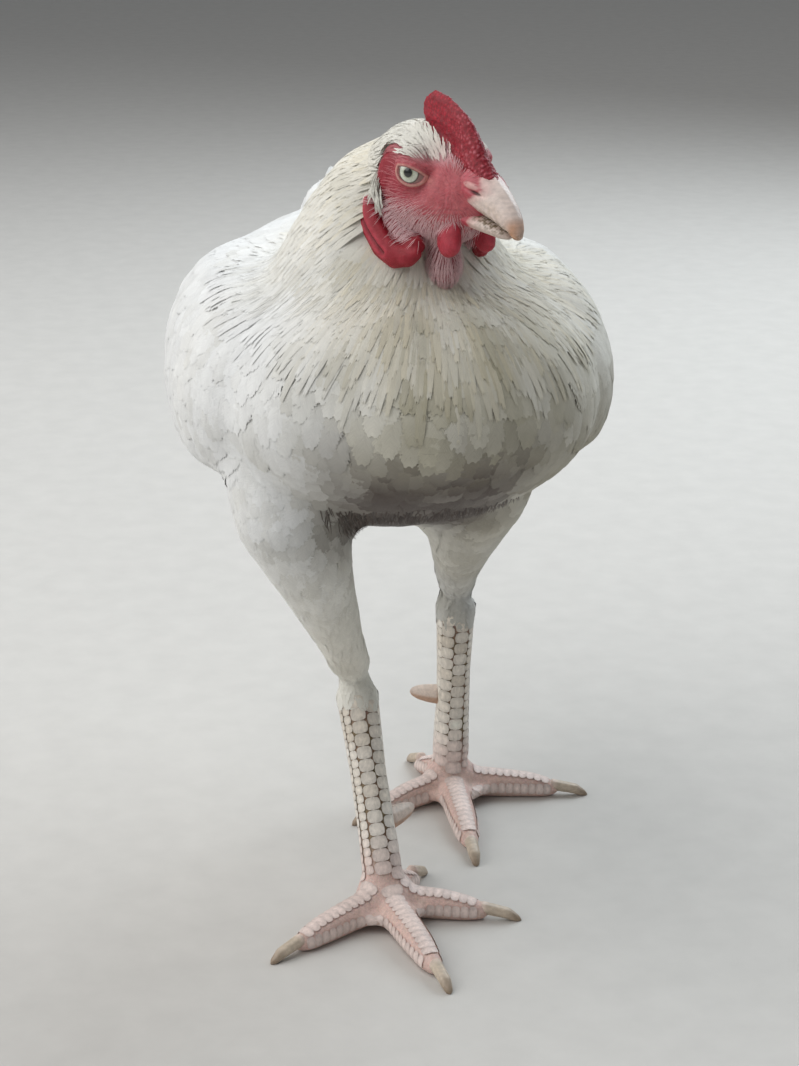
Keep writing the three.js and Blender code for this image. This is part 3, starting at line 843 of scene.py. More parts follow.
# %% [markdown]
# ## One feather, laid on the body
# A feather is a shaft with barbs on both sides. The barbs hook into one closed sheet, and only their ends
# stand free along its edge. So the vane is a thin sheet with a bright shaft and a fringe of fine points. A
# hackle has no fringe, and its edges droop onto its neighbours, which closes the gaps. Each pattern is made
# flat once, with t along the shaft from 0 to 1 and x across from -1 to 1. To lay it, the shaft walks over the
# skin a step at a time, rising towards its tip by the depth of the coat.

# %% Draw the flat patterns
LAST_ROW = 0.985
SHAFT_TONE = 1.10


def outline(t, point):
    """Half-width of a vane at t. point is the share of the length over which it closes to its tip."""
    root = smoothstep(-0.02, 0.25, t) * 0.75 + 0.25
    from_tip = np.clip((1 - t) / point, 0, 1)
    return float(root * np.sqrt(from_tip * (2 - from_tip)))


def strip_faces(count):
    """Triangles of a narrow strip whose places stand in pairs along it, with a single one at its tip."""
    return [(i, i + 2, i + 1) if i % 2 else (i, i + 1, i + 2) for i in range(count - 2)]


def vane(rows, columns, barbs, slant, point, seed, shaft=0.02, ragged=0.1, closed=0.8, start=0.06, arch=0.0,
         droop=0.04):
    """A flat feather: places (t, x, lift), triangles, and for each place its tone. Its middle is one closed
    sheet, and along the sheet's edge each barb's end stands out as a fine point."""
    source = np.random.default_rng(seed)
    shares = start + (LAST_ROW - start) * (1 - (1 - np.linspace(0, 1, rows)) ** 1.7)
    edge = [outline(t, point) for t in shares]
    places, faces, tones = [], [], []
    for row, (t, reach) in enumerate(zip(shares, edge)):
        for x in np.linspace(-closed, closed, columns):
            along = t - slant * 0.35 * (closed - abs(x)) * (row == rows - 1)
            places.append((along, x * reach, arch * (1 - abs(x) / closed) * reach))
            tones.append(source.uniform(0.98, 1.01))
    for row in range(rows - 1):
        for column in range(columns - 1):
            at = row * columns + column
            faces += [(at, at + 1, at + columns), (at + 1, at + columns + 1, at + columns)]
    gap = (0.96 - start) / max(barbs, 1)
    for side in (-1, 1):
        for number in range(barbs):
            t = start + gap * (number + source.uniform(0.2, 0.8))
            ends = t + gap * 1.6
            reach, further = (outline(min(at, LAST_ROW), point) for at in (t, ends))
            tip = t + slant * source.uniform(0.35, 0.7) * (1.2 - 0.6 * t)
            tip = min(tip, 1.0 + 0.02 * source.uniform(0, 1))
            out = outline(min(tip, LAST_ROW), point) * source.uniform(1 - ragged, 1 + ragged)
            first = len(places)
            sheet_edge = side * closed * 0.96
            places += [(t, sheet_edge * reach, 0.0), (ends, sheet_edge * further, 0.0),
                       (tip, side * max(out, 0.05), 0.0)]
            tones += [1.0, 1.0, source.uniform(0.97, 1.03)]
            faces.append((first, first + 1, first + 2))
    if shaft:
        first = len(places)
        for t in (0.0, 0.3, 0.62):
            wide = shaft * (1 - 0.7 * t)
            places += [(t, -wide, 0.03 + arch), (t, wide, 0.03 + arch)]
        places.append((0.96, 0.0, 0.02))
        tones += [SHAFT_TONE] * 7
        faces += [tuple(first + corner for corner in face) for face in strip_faces(7)]
    places, faces = np.array(places), np.array(faces)
    a, b, c = (places[faces[:, i], :2] for i in range(3))
    upside_down = np.cross(b - a, c - a) > 0
    faces[upside_down] = faces[upside_down][:, ::-1]
    return {"places": places, "faces": faces, "tones": np.array(tones), "droop": droop}


print("the last row of a vane is at", LAST_ROW, "of its length")


# %% Four kinds of feather
def patterns(count, **shape):
    return [vane(seed=31 * number + 5, **shape) for number in range(count)]


HACKLE = patterns(3, rows=8, columns=3, barbs=0, slant=0.1, point=0.95, shaft=0.10, closed=1.0, arch=0.05,
                  droop=0.30)
CONTOUR = patterns(5, rows=8, columns=4, barbs=20, slant=0.17, point=0.62, shaft=0.014, ragged=0.12,
                   closed=0.78, droop=0.07)
QUILL = patterns(3, rows=9, columns=5, barbs=16, slant=0.06, point=0.2, shaft=0.035, ragged=0.03,
                 closed=0.94, arch=0.10)
SMALL = patterns(4, rows=4, columns=3, barbs=5, slant=0.3, point=0.9, shaft=0.06, ragged=0.3, closed=0.7)
print("triangles in a hackle, contour feather, quill and small feather:",
      [len(kind[0]["faces"]) for kind in (HACKLE, CONTOUR, QUILL, SMALL)])

# %% Walk over the skin
STEPS = 6


def walk(surface, roots, lie, length, parts=None, wander=0.12, seed=1):
    """Leads each shaft over the skin. Gives points and normals on the skin, and the sideways curve there."""
    source = np.random.default_rng(seed)
    turn = source.normal(0, wander, len(roots))
    place, normal = surface.nearest(roots)
    trail, normals, bends = [], [], []
    step = (np.asarray(length, float) * MM / STEPS)[:, None]
    for number in range(STEPS + 1):
        ahead = lie(place, parts)
        ahead = unit(ahead - normal * np.sum(ahead * normal, axis=1, keepdims=True))
        side = np.cross(ahead, normal)
        if number == 0:
            steady = ahead * np.cos(turn)[:, None] + side * np.sin(turn)[:, None]
        else:
            steady = unit(0.6 * heading + 0.4 * ahead)
        heading = unit(steady - normal * np.sum(steady * normal, axis=1, keepdims=True))
        side = np.cross(heading, normal)
        reach = 3 * MM
        _, left = surface.nearest(place - side * reach)
        _, right = surface.nearest(place + side * reach)
        trail.append(place)
        normals.append(normal)
        bends.append(np.sum((right - left) * side, axis=1) / (2 * reach))
        if number < STEPS:
            place, normal = surface.nearest(place + heading * step)
    return np.stack(trail, 1), np.stack(normals, 1), np.clip(np.stack(bends, 1), -60, 60)


def at_shares(values, shares):
    """Reads a walk of STEPS + 1 stops at shares from 0 to 1, on a smooth curve through the stops."""
    place = np.clip(shares, 0, 1.04) * STEPS
    stop = np.clip(place.astype(int), 0, STEPS - 1)
    t = place - stop
    before, after = np.maximum(stop - 1, 0), np.minimum(stop + 2, STEPS)
    weights = [(-t + 2 * t**2 - t**3) / 2, (2 - 5 * t**2 + 3 * t**3) / 2, (t + 4 * t**2 - 3 * t**3) / 2,
               (t**3 - t**2) / 2]
    total = 0
    for weight, index in zip(weights, (before, stop, stop + 1, after)):
        total = total + values[:, index] * (weight[None, :, None] if values.ndim == 3 else weight[None, :])
    return total


print("a walk has", STEPS + 1, "stops")


# %% Lay a pattern along its walk
def laid(pattern, trail, normals, bends, width, depth, rise, lean):
    """Lays one pattern along each of many walks. Gives points and soft normals, feathers by places by 3."""
    t, x, lift = pattern["places"].T
    centre = at_shares(trail, t)
    up = unit(at_shares(normals, t))
    ahead = unit(at_shares(trail, np.minimum(t + 0.04, 1.04)) - at_shares(trail, np.maximum(t - 0.04, 0)))
    side = unit(np.cross(ahead, up))
    bend = at_shares(bends, np.clip(t, 0, 1))
    half = np.asarray(width, float)[:, None] * MM / 2
    across = x[None, :] * half
    height = at_shares(depth, np.clip(t, 0, 1)) * rise(np.clip(t, 0, 1))[None, :]
    drop = bend * across**2 / 2 + pattern["droop"] * x[None, :] ** 2 * half
    points = centre + side * across[..., None]
    points += up * (height * MM + lift[None, :] * half - drop)[..., None]
    soft = unit(up + side * (bend * across + lean * x[None, :])[..., None])
    return points, soft


def close_lying(t):
    """A feather climbs quickly out of the skin, then runs almost level, so that its tip lies on the next."""
    return 0.94 * np.clip(t / 0.6, 0, 1) ** 0.6 + 0.06 * np.clip(t, 0, 1)


print("halfway along, a feather has climbed", round(float(close_lying(0.5)), 2), "of its height")

# %% [markdown]
# ## Colours of the bird
# The bird is white, but no white plumage is one colour. It is cool and clean on the back and wings, and
# creamy over the neck and breast. The front of the breast is greyed, partly grubby and partly painted shade.
# Low on the bird's left side and on its left leg it is darkened with painted shade of an olive tint. It is
# faintly rusty under the end of the right wing, and dark brown under the belly, partly real dirt and partly
# painted shade. One function gives the colour of the plumage at any place, and both the skin and the feathers
# ask it, so that a gap between feathers never shows a wrong colour.

# %% Plumage colours
def srgb(red, green, blue):
    """A colour as a screen shows it, from 0 to 255, turned into the light that it reflects."""
    channels = np.array([red, green, blue], float) / 255
    return np.where(channels <= 0.04045, channels / 12.92, ((channels + 0.055) / 1.055) ** 2.4)


def mix(first, second, share):
    share = np.asarray(share, float)[..., None]
    return first * (1 - share) + second * share


CLEAN_WHITE = srgb(240, 241, 240)
CREAM = srgb(242, 237, 221)
# a greyed cream: partly the grubby feathers' own colour, partly painted shade
DULL_AND_SHADE = srgb(186, 180, 156)
# dark brown: partly real dirt, partly painted shade under the belly
DIRT_AND_SHADE = srgb(60, 42, 30)
RUST = srgb(176, 140, 100)
# painted shade with an olive tint
OLIVE_SHADE = srgb(132, 124, 98)
# heights, in metres, between which the belly's dark brown of dirt and painted shade fades in
BELLY_TOP = 0.194
BELLY_LOW = 0.180


def plumage_colour(points):
    x, y, z = points.T
    patchy = soft_noise(points, 0.045, 3)
    blotchy = soft_noise(points, 0.014, 4)
    front = smoothstep(0.02, -0.06, y) * smoothstep(-0.060, -0.015, x)
    colour = mix(CLEAN_WHITE, CREAM, np.clip(front * 0.7 + 0.12 * patchy, 0, 1))
    # painted shade with an olive tint, low on the bird's left side
    shaded_low_left = smoothstep(0.02, 0.05, x) * smoothstep(0.215, 0.175, z) * smoothstep(0.13, 0.15, z)
    # the front of the breast is greyed, partly grubby feathers and partly painted shade
    grubby_and_shaded = np.exp(-(((x - 0.01) / 0.045) ** 2)) * smoothstep(-0.07, -0.11, y) * smoothstep(0.262, 0.215, z)
    grubby_and_shaded = np.clip(grubby_and_shaded, 0, 1) * (0.62 + 0.25 * blotchy)
    colour = mix(colour, DULL_AND_SHADE, np.clip(grubby_and_shaded + 0.10 * blotchy, 0, 1))
    # painted shade with an olive tint, on the bird's left leg
    shaded_far_leg = smoothstep(0.010, 0.025, x) * smoothstep(0.155, 0.135, z)
    colour = mix(colour, OLIVE_SHADE, np.clip(np.maximum(shaded_low_left * 0.8, shaded_far_leg * 0.45) + 0.10 * blotchy, 0, 1))
    # under the belly the plumage turns dark brown: partly real dirt, partly painted shade under the body
    edge = z + 0.006 * patchy + 0.004 * blotchy
    between = np.exp(-(((x + 0.004) / 0.036) ** 4))
    belly = smoothstep(BELLY_TOP, BELLY_LOW, edge) * between
    belly = belly * smoothstep(0.132, 0.146, z) * smoothstep(0.035, 0.0, y)
    colour = mix(colour, DIRT_AND_SHADE, np.clip(belly * (1.0 + 0.15 * blotchy), 0, 0.97))
    wing_tips = smoothstep(0.165, 0.150, edge) * smoothstep(-0.055, -0.068, x) * smoothstep(-0.05, 0.0, y)
    return mix(colour, RUST, np.clip(wing_tips * (0.4 + 0.3 * blotchy), 0, 1))


print("the belly's dirt fades in between", BELLY_TOP, "and", BELLY_LOW, "m above the floor")


# %% [markdown]
# The face is raw red skin, the comb and earlobes deeper crimson, and the lids have a pale rim with a line of
# painted shade inside it, where they tuck in against the eyeball. Painted shade also darkens the seams
# between the pebbles of comb and face, and the crease of each earlobe, while the tops of the comb's pebbles
# turn a pale pink that is partly speckle and partly painted highlight. The legs are cream, with a grey-brown
# skin that shows in the seams between their scales.

# %% Skin colours
BARE_FACE = srgb(184, 68, 82)
FACE_PALE = srgb(214, 120, 124)
BEHIND_EYE = srgb(150, 20, 40)
EYE_CORNER = srgb(206, 128, 124)
COMB_RED = srgb(178, 18, 44)
# painted shade for the seams between the comb's pebbles
COMB_SEAM_SHADE = srgb(104, 10, 24)
# pale pink: partly the comb's own speckles, partly painted highlight
COMB_SPECKLE_HIGHLIGHT = srgb(196, 128, 138)
LOBE_RED = srgb(150, 12, 32)
LOBE_RIM = srgb(186, 56, 72)
# painted shade for the earlobe's crease
LOBE_CREASE_SHADE = srgb(70, 2, 10)
WATTLE_RED = srgb(186, 58, 74)
THROAT_PINK = srgb(168, 96, 100)
LID_RIM = srgb(214, 170, 156)
# painted shade for the lid's inner edge
LID_SHADE_LINE = srgb(44, 22, 20)
LEG_SEAM = srgb(150, 132, 100)
LEG_SKIN = srgb(168, 138, 116)
TOE_SKIN = srgb(232, 200, 190)
HOCK_PINK = srgb(216, 172, 164)
CROWN_SKIN = srgb(214, 176, 174)


def head_colour(points, shares):
    fsu = to_head(points)
    side = mirrored(fsu)
    f, _, u = side.T
    outward, distance, past = seen_from_the_eye(fsu)
    ahead, over = outward @ EYE_AHEAD * EYE_RADIUS, outward @ EYE_OVER * EYE_RADIUS
    fine = pebbles(fsu, *FINE)
    mottle = 0.5 + 0.5 * soft_noise(fsu, 5.0, 8)
    colour = mix(BARE_FACE, FACE_PALE, (0.45 + 0.4 * mottle) * smoothstep(-2, 10, f))
    behind = bump(f, -11.0, 5.6) * smoothstep(9, 3, u) * smoothstep(-15, -9, u)
    # deeper red behind the eye, and the same red as painted shade in the seams between the face's pebbles
    colour = mix(colour, BEHIND_EYE, np.clip(behind + 0.25 * (1 - fine), 0, 1))
    under = smoothstep(-13, -20, u)
    colour = mix(colour, LOBE_RED, 0.6 * under)
    near_eye = distance < 11
    rim = np.where(near_eye, bump(past, 0.55, 0.38), 0)
    colour = mix(colour, LID_RIM, 0.8 * rim * smoothstep(3.2, 1.2, over))
    # painted shade along the lid's inner edge, where it tucks in against the eyeball
    line = np.where(near_eye, smoothstep(0.22, 0.02, past), 0)
    colour = mix(colour, LID_SHADE_LINE, line)
    corner = np.exp(-((ahead - 5.3) ** 2) - (over + 1.1) ** 2)
    colour = mix(colour, EYE_CORNER, np.where(near_eye, 0.8 * corner, 0))
    # painted shade darkens the seams between the comb's pebbles
    comb = mix(COMB_RED, COMB_SEAM_SHADE, np.clip(1 - fine * 1.2, 0, 1) * 0.75)
    # pale pink on the pebble tops, more towards front and top: partly pale speckles, partly painted highlight
    speckle_highlight = smoothstep(2, 16, f + 0.3 * (u - 14)) * smoothstep(0.5, 1.0, fine)
    comb = mix(comb, COMB_SPECKLE_HIGHLIGHT, 0.55 * speckle_highlight)
    colour = mix(colour, comb, shares["comb"])
    crease = from_line(side[:, [0, 2]], EARLOBE_CREASE)
    lobe = mix(LOBE_RED, LOBE_RIM, 0.75 * bump(crease, 1.6, 1.0) + 0.25 * mottle)
    # painted shade, nearly black, down the earlobe's crease
    lobe = mix(lobe, LOBE_CREASE_SHADE, 0.8 * bump(crease, 0, 0.45))
    colour = mix(colour, lobe, shares["earlobe"])
    colour = mix(colour, mix(WATTLE_RED, LOBE_RED, 0.5 * mottle), shares["wattle"])
    colour = mix(colour, mix(THROAT_PINK, WATTLE_RED, smoothstep(-30, -37, u)), shares["throat"])
    return colour


def hock_heights(points, between_legs):
    """The height of the hock of each point's own leg. between_legs is the x that parts the two."""
    return np.where(points[:, 0] < between_legs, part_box("shank_right")[1].z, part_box("shank_left")[1].z)


def leg_colour(points):
    z = points[:, 2]
    patchy = 0.5 + 0.5 * soft_noise(points, 0.010, 12)
    colour = mix(LEG_SEAM, LEG_SKIN, patchy)
    toes = smoothstep(0.030, 0.016, z)
    colour = mix(colour, TOE_SKIN, 0.85 * toes)
    tops = hock_heights(points, between_eyes.x)
    return mix(colour, HOCK_PINK, smoothstep(tops - 0.016, tops - 0.002, z))


print("a comb's seam reflects", COMB_SEAM_SHADE.round(3))


# %% Paint the skin
def give_colour(mesh, colours, name="colour"):
    """Stores a colour for each point of a mesh."""
    opaque = np.column_stack([np.clip(colours, 0, 1), np.ones(len(colours))])
    attribute = mesh.color_attributes.new(name, "FLOAT_COLOR", "POINT")
    attribute.data.foreach_set("color", opaque.astype(np.float32).ravel())
    mesh.color_attributes.active_color = attribute


def distance_to(mesh, places):
    corners = [face.vertices[:] for face in mesh.polygons]
    tree = BVHTree.FromPolygons([vert.co for vert in mesh.vertices], corners)
    return np.array([tree.find_nearest(Vector(place))[3] for place in places])


FLESH = PLUMED + HEAD_PARTS + BARE_LEG
skin_points = points_of(skin.data)
gaps = np.stack([distance_to(part.data, skin_points) for part in (body, head_skin, legs_skin)])
came_from = gaps.argmin(axis=0)
on_head = averaged(skin.data, (came_from == 1).astype(float), 1)
on_leg = averaged(skin.data, (came_from == 2).astype(float), 3)
skin_shares = head_shares(skin.data)
bare_parts = skin_shares["comb"] + skin_shares["earlobe"] + skin_shares["wattle"]
feathered = crown_share(to_head(skin_points)) * np.clip(1 - 2 * bare_parts, 0, 1)
colours = plumage_colour(skin_points) * 0.9
face = mix(head_colour(skin_points, skin_shares), CROWN_SKIN, 0.8 * feathered)
colours = mix(colours, face, on_head)
colours = mix(colours, leg_colour(skin_points), on_leg)
give_colour(skin.data, colours)
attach(skin, "root")
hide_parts(*FLESH)
report(skin)

# %% [markdown]
# ## A map of the skin
# For baking, each feather's colour can go into a small patch of an image. The patch needs a place of its own,
# near its neighbours', so a light copy of the skin is unwrapped, and every feather takes the place of its
# root on that map.

# %% Unwrap a light copy of the skin
PATCH = 0.003
LIGHT_FACES = 6000

light_skin = object_of("light skin", skin.data.copy())
fewer = light_skin.modifiers.new("fewer faces", "DECIMATE")
fewer.ratio = LIGHT_FACES / len(skin.data.polygons)
with_modifiers_applied(light_skin)
bpy.context.view_layer.objects.active = light_skin
light_skin.select_set(True)
bpy.ops.object.mode_set(mode="EDIT")
bpy.ops.mesh.select_all(action="SELECT")
bpy.ops.uv.smart_project(angle_limit=math.radians(66), island_margin=0.005)
bpy.ops.object.mode_set(mode="OBJECT")
map_surface = Surface(light_skin.data)
loops = np.empty(len(light_skin.data.loop_triangles) * 3, np.int64)
light_skin.data.loop_triangles.foreach_get("loops", loops)
flat = np.empty(len(light_skin.data.loops) * 2, np.float32)
light_skin.data.uv_layers.active.data.foreach_get("uv", flat)
map_corners = flat.reshape(-1, 2)[loops.reshape(-1, 3)]


def on_the_map(places):
    """Where each place of the skin is on its unwrap."""
    found = [map_surface.tree.find_nearest(Vector(place)) for place in places]
    hits, index = np.array([hit[0] for hit in found]), np.array([hit[2] for hit in found])
    a, b, c = (map_surface.points[map_surface.corners[index, i]] for i in range(3))
    area = np.linalg.norm(np.cross(b - a, c - a), axis=1)
    to_a = np.linalg.norm(np.cross(b - hits, c - hits), axis=1) / area
    to_b = np.linalg.norm(np.cross(c - hits, a - hits), axis=1) / area
    shares = np.clip(np.stack([to_a, to_b, 1 - to_a - to_b], 1), 0, 1)
    return np.einsum("ni,nij->nj", shares / shares.sum(axis=1, keepdims=True), map_corners[index])


bpy.data.objects.remove(light_skin)
skin_surface = Surface(skin.data)
print("map covers", map_corners.min(axis=(0, 1)).round(2), "to", map_corners.max(axis=(0, 1)).round(2))

# %% [markdown]
# ## Building a coat
# All the feathers of one region become one mesh. It carries each feather's colour, its place on the map of
# the skin, and the flat pattern itself as a second map, along which the fine barbs are drawn. Its normals
# are bent towards those of the body, because light scatters through soft plumage and rounds it off, and
# hard edges between feathers would look like scales.

# %% Feathers into one mesh
def mesh_from(name, points, faces, normals, colours, maps):
    mesh = bpy.data.meshes.new(name)
    mesh.vertices.add(len(points))
    mesh.vertices.foreach_set("co", points.astype(np.float32).ravel())
    mesh.loops.add(len(faces) * 3)
    mesh.loops.foreach_set("vertex_index", faces.astype(np.int32).ravel())
    mesh.polygons.add(len(faces))
    mesh.polygons.foreach_set("loop_start", np.arange(0, len(faces) * 3, 3, dtype=np.int32))
    mesh.update(calc_edges=True)
    shade_smooth(mesh)
    give_colour(mesh, colours)
    for title, places in maps.items():
        layer = mesh.uv_layers.new(name=title)
        layer.data.foreach_set("uv", places[faces.ravel()].astype(np.float32).ravel())
    mesh.normals_split_custom_set_from_vertices(normals.astype(np.float32).tolist())
    return mesh


def feathers(surface, roots, kind, lie, length, width, depth, rise=None, wander=0.12,
             lean=0.12, softness=0.92, tint=None, seed=1, path=None, uneven=0.03):
    """Lays feathers at the roots and gives their points, faces, normals, colours and maps."""
    source = np.random.default_rng(seed)
    vary = source.normal(1, 0.08, (2, len(roots))).clip(0.8, 1.2)
    length, width = np.asarray(length, float) * vary[0], np.asarray(width, float) * vary[1]
    parts = nodes_at(roots, COVERED)
    trail, normals, bends = path or walk(surface, roots, lie, length, parts, wander, seed)
    if callable(depth):
        depth = np.stack([depth(trail[:, stop]) for stop in range(STEPS + 1)], 1)
    else:
        depth = np.tile(np.broadcast_to(np.asarray(depth, float), len(roots))[:, None], (1, STEPS + 1))
    depth = depth * source.normal(1, 0.016, (len(roots), 1))
    tint = tint or plumage_colour
    near, far = (tint(trail[:, stop]) for stop in (STEPS // 3, STEPS))
    shade = source.normal(1, uneven, (len(roots), 1)).clip(0.84, 1.08)
    near, far = near * shade, far * shade
    places_on_map = on_the_map(roots)
    kinds = source.integers(len(kind), size=len(roots))
    out = []
    for number, pattern in enumerate(kind):
        mine = np.nonzero(kinds == number)[0]
        if not len(mine):
            continue
        points, soft = laid(pattern, trail[mine], normals[mine], bends[mine], width[mine], depth[mine],
                            rise or close_lying, lean)
        faces = pattern["faces"]
        a, b, c = (points[:, faces[:, i]] for i in range(3))
        facing = np.cross(b - a, c - a)
        hard = np.zeros_like(points)
        for corner in range(3):
            np.add.at(hard, (slice(None), faces[:, corner]), facing)
        hard = unit(hard)
        hard *= np.sign(np.sum(hard * soft, axis=2, keepdims=True) + 1e-9)
        outward = soft[:, faces[:, 0]] + soft[:, faces[:, 1]] + soft[:, faces[:, 2]]
        turned = np.sum(facing * outward, axis=2) < 0
        normal = unit(soft * softness + hard * (1 - softness))
        count = len(pattern["places"])
        t, x = pattern["places"][:, 0], pattern["places"][:, 1]
        along = np.clip(t, 0, 1)[None, :, None]
        colours = near[mine][:, None] * (1 - along) + far[mine][:, None] * along
        colours = colours * pattern["tones"][None, :, None]
        local = np.stack([x * 0.5, t - 0.5], 1) * PATCH
        baked = places_on_map[mine][:, None, :] + local[None]
        vane_map = np.broadcast_to(np.stack([x * 0.5 + 0.5, t], 1)[None], (len(mine), count, 2))
        shifted = faces[None] + (np.arange(len(mine)) * count)[:, None, None]
        shifted[turned] = shifted[turned][:, ::-1]
        out.append((points.reshape(-1, 3), shifted.reshape(-1, 3), normal.reshape(-1, 3),
                    colours.reshape(-1, 3), baked.reshape(-1, 2), vane_map.reshape(-1, 2)))
    return out


print("a feather's patch on the map is", PATCH, "across")


# %% Coats
def coat_height(share):
    """Gives a function for the height of the coat over the body, as a share of the depth left for it."""
    def height(points):
        found = [body_surface.tree.find_nearest(Vector(point))[2] for point in points]
        return share * coat_depth[body_surface.corners[found]].mean(axis=1)
    return height


def coat(name, *bunches):
    """Joins bunches of feathers into one piece of coat."""
    groups = [group for bunch in bunches for group in bunch]
    starts = np.cumsum([0] + [len(group[0]) for group in groups])
    faces = np.concatenate([group[1] + start for group, start in zip(groups, starts)])
    joined = (np.concatenate([group[i] for group in groups]) for i in (0, 2, 3, 4, 5))
    points, normals, colours, baked, vane_map = joined
    mesh = mesh_from(name, points, faces, normals, colours, {"OFBake": baked, "vane": vane_map})
    piece = object_of(name, mesh)
    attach(piece, "root")
    report(piece)
    return piece


print("the body's coat is", coat_depth.min().round(1), "to", coat_depth.max().round(1), "mm deep")


# %% [markdown]
# ## The plumage, region by region
# The neck wears hackles, long and narrow with a bright shaft, which grow from finger-nail size behind the
# face to full length over the shoulders, with broader feathers under them. Breast, back and thighs wear broad
# contour feathers, which show only as soft ripples. The wing has coverts above its long flight feathers. The
# tail is covered like the back, and ends in a narrow tent of stiff feathers.

# %% Neck
HACKLE_STRAW = srgb(236, 222, 186)


def part_keeper(wanted, extra=None):
    """Says for each point whether it is on one of the wanted solids, and whether an extra rule allows it."""
    def keep(points):
        inside = np.isin(nodes_at(points, COVERED), wanted).astype(float)
        return inside if extra is None else inside * extra(points)
    return keep


def from_face(points):
    """Distance behind the face, in millimetres, which sets the size of the hackles."""
    return np.linalg.norm(points - NAPE_HUB, axis=1) / MM


def off_the_face(points):
    fsu = to_head(points)
    return 1 - smoothstep(-17, -13, fsu[:, 0]) * smoothstep(-27, -23, fsu[:, 2])


def wears_hackles(points):
    """Hackles cover the neck and the shoulders. In front they stop a little sooner."""
    in_front = smoothstep(0.05, 0.0, points[:, 1] - between_eyes.y)
    return smoothstep(78, 56, from_face(points) + 14 * in_front)


def hackle_tint(points):
    """Some hackles are cream and some nearly yellow along the shaft."""
    warm = random.uniform(0, 1, len(points)) ** 2
    warm = warm * smoothstep(-0.06, -0.02, points[:, 0])
    return mix(plumage_colour(points), HACKLE_STRAW, 0.36 * warm)


def wider_apart(points):
    """0 behind the face and 1 over the shoulders, for the spacing of the neck's feathers."""
    return smoothstep(20, 60, from_face(points))


def grown_up(points):
    """0 behind the face and 1 over the shoulders, for the size of the neck's feathers."""
    return smoothstep(16, 55, from_face(points))


on_neck = part_keeper(["neck", "head", "trunk"], lambda p: off_the_face(p) * wears_hackles(p))
hackle_roots = body_surface.scatter(lambda p: 1.0 + 0.45 * wider_apart(p), on_neck, 11)
grown = grown_up(hackle_roots)
hackles = feathers(body_surface, hackle_roots, HACKLE, lie_of_body, 14 + 20 * grown, 2.3 + 1.8 * grown,
                   coat_height(0.91), wander=0.05, lean=0.05, tint=hackle_tint, seed=12)
under_roots = body_surface.scatter(lambda p: 1.9 + 0.8 * wider_apart(p),
                                   lambda p: on_neck(p) * (from_face(p) > 34), 13)
grown = grown_up(under_roots)
under_hackles = feathers(body_surface, under_roots, CONTOUR, lie_of_body, 11 + 10 * grown, 5.5 + 4 * grown,
                         coat_height(0.88), wander=0.08, seed=14)
coat("coat_neck", hackles, under_hackles)

# %% Breast
NECK_END = 46


def ahead_of_wings(points):
    return smoothstep(0.010, -0.004, points[:, 1])


def behind_shoulders(points):
    return 1 - ahead_of_wings(points)


def on_breast(points):
    parts = nodes_at(points, COVERED)
    inside = (parts == "trunk") * ahead_of_wings(points) + (parts == "neck") * off_the_face(points)
    return inside * (from_face(points) > NECK_END)


breast_roots = body_surface.scatter(lambda p: 3.3, on_breast, 21)
breast = feathers(body_surface, breast_roots, CONTOUR, lie_of_body, 23, 11, coat_height(0.84), wander=0.12,
                  uneven=0.018, seed=22)
coat("coat_breast", breast)

# %% Back and rump
on_back = part_keeper(["trunk", "neck"], lambda p: behind_shoulders(p) * (from_face(p) > NECK_END))
back_roots = body_surface.scatter(lambda p: 3.9, on_back, 31)
low_down = smoothstep(0.17, 0.145, back_roots[:, 2])
back = feathers(body_surface, back_roots, CONTOUR, lie_of_body, 30 - 8 * low_down, 14 - 3 * low_down,
                coat_height(0.86), wander=0.10, seed=32)
coat("coat_back", back)

# %% Wings
for side in SIDES:
    wing = f"wing_{side}"
    low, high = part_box(wing)

    def back_along(points):
        return (points[:, 1] - low.y) / (high.y - low.y)

    covert_roots = body_surface.scatter(lambda p: 3.8 + 1.6 * back_along(p), part_keeper([wing]), 41)
    covert_share = back_along(covert_roots)
    coverts = feathers(body_surface, covert_roots, CONTOUR, lie_of_body, 22 + 16 * covert_share,
                       12 + 3 * covert_share, coat_height(0.9), wander=0.06, seed=42)

    def low_edge(points):
        height = (points[:, 2] - low.z) / (high.z - low.z)
        along = back_along(points)
        return smoothstep(0.62, 0.45, height + 0.25 * (along - 0.5)) * smoothstep(0.25, 0.4, along)

    flight_roots = body_surface.scatter(lambda p: 7.0, part_keeper([wing], low_edge), 43)
    flight = feathers(body_surface, flight_roots, QUILL, lie_of_body, 60, 13, coat_height(1.06), wander=0.03,
                      softness=0.45, uneven=0.08, seed=44)
    coat(f"coat_wing_{side}", coverts, flight)

# %% Tail
tail_low, tail_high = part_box("tail")
tail_end = tail_high.y - COAT_DEPTH["tail"] * MM


def room_behind(points, least, most):
    """How long a feather on the tail can be before it reaches the tail's end, in millimetres."""
    return np.clip((tail_end - points[:, 1]) / MM, least, most)


tail_roots = body_surface.scatter(lambda p: 5.0, part_keeper(["tail"]), 51)
tail_cover = feathers(body_surface, tail_roots, CONTOUR, lie_of_body, room_behind(tail_roots, 12, 32), 13,
                      coat_height(0.75), wander=0.06, seed=52)
before_the_end = part_keeper(["tail"], lambda p: p[:, 1] < tail_end - 0.02)
quill_roots = body_surface.scatter(lambda p: 6.5, before_the_end, 53)
tail_quills = feathers(body_surface, quill_roots, QUILL, lie_of_body, room_behind(quill_roots, 18, 70), 13,
                       coat_height(0.9), wander=0.04, softness=0.6, uneven=0.06, seed=54)


# the spread is in radians, and the other two are in millimetres
FAN_SPREAD = 0.16
FAN_START = 46
FAN_LENGTH = 52


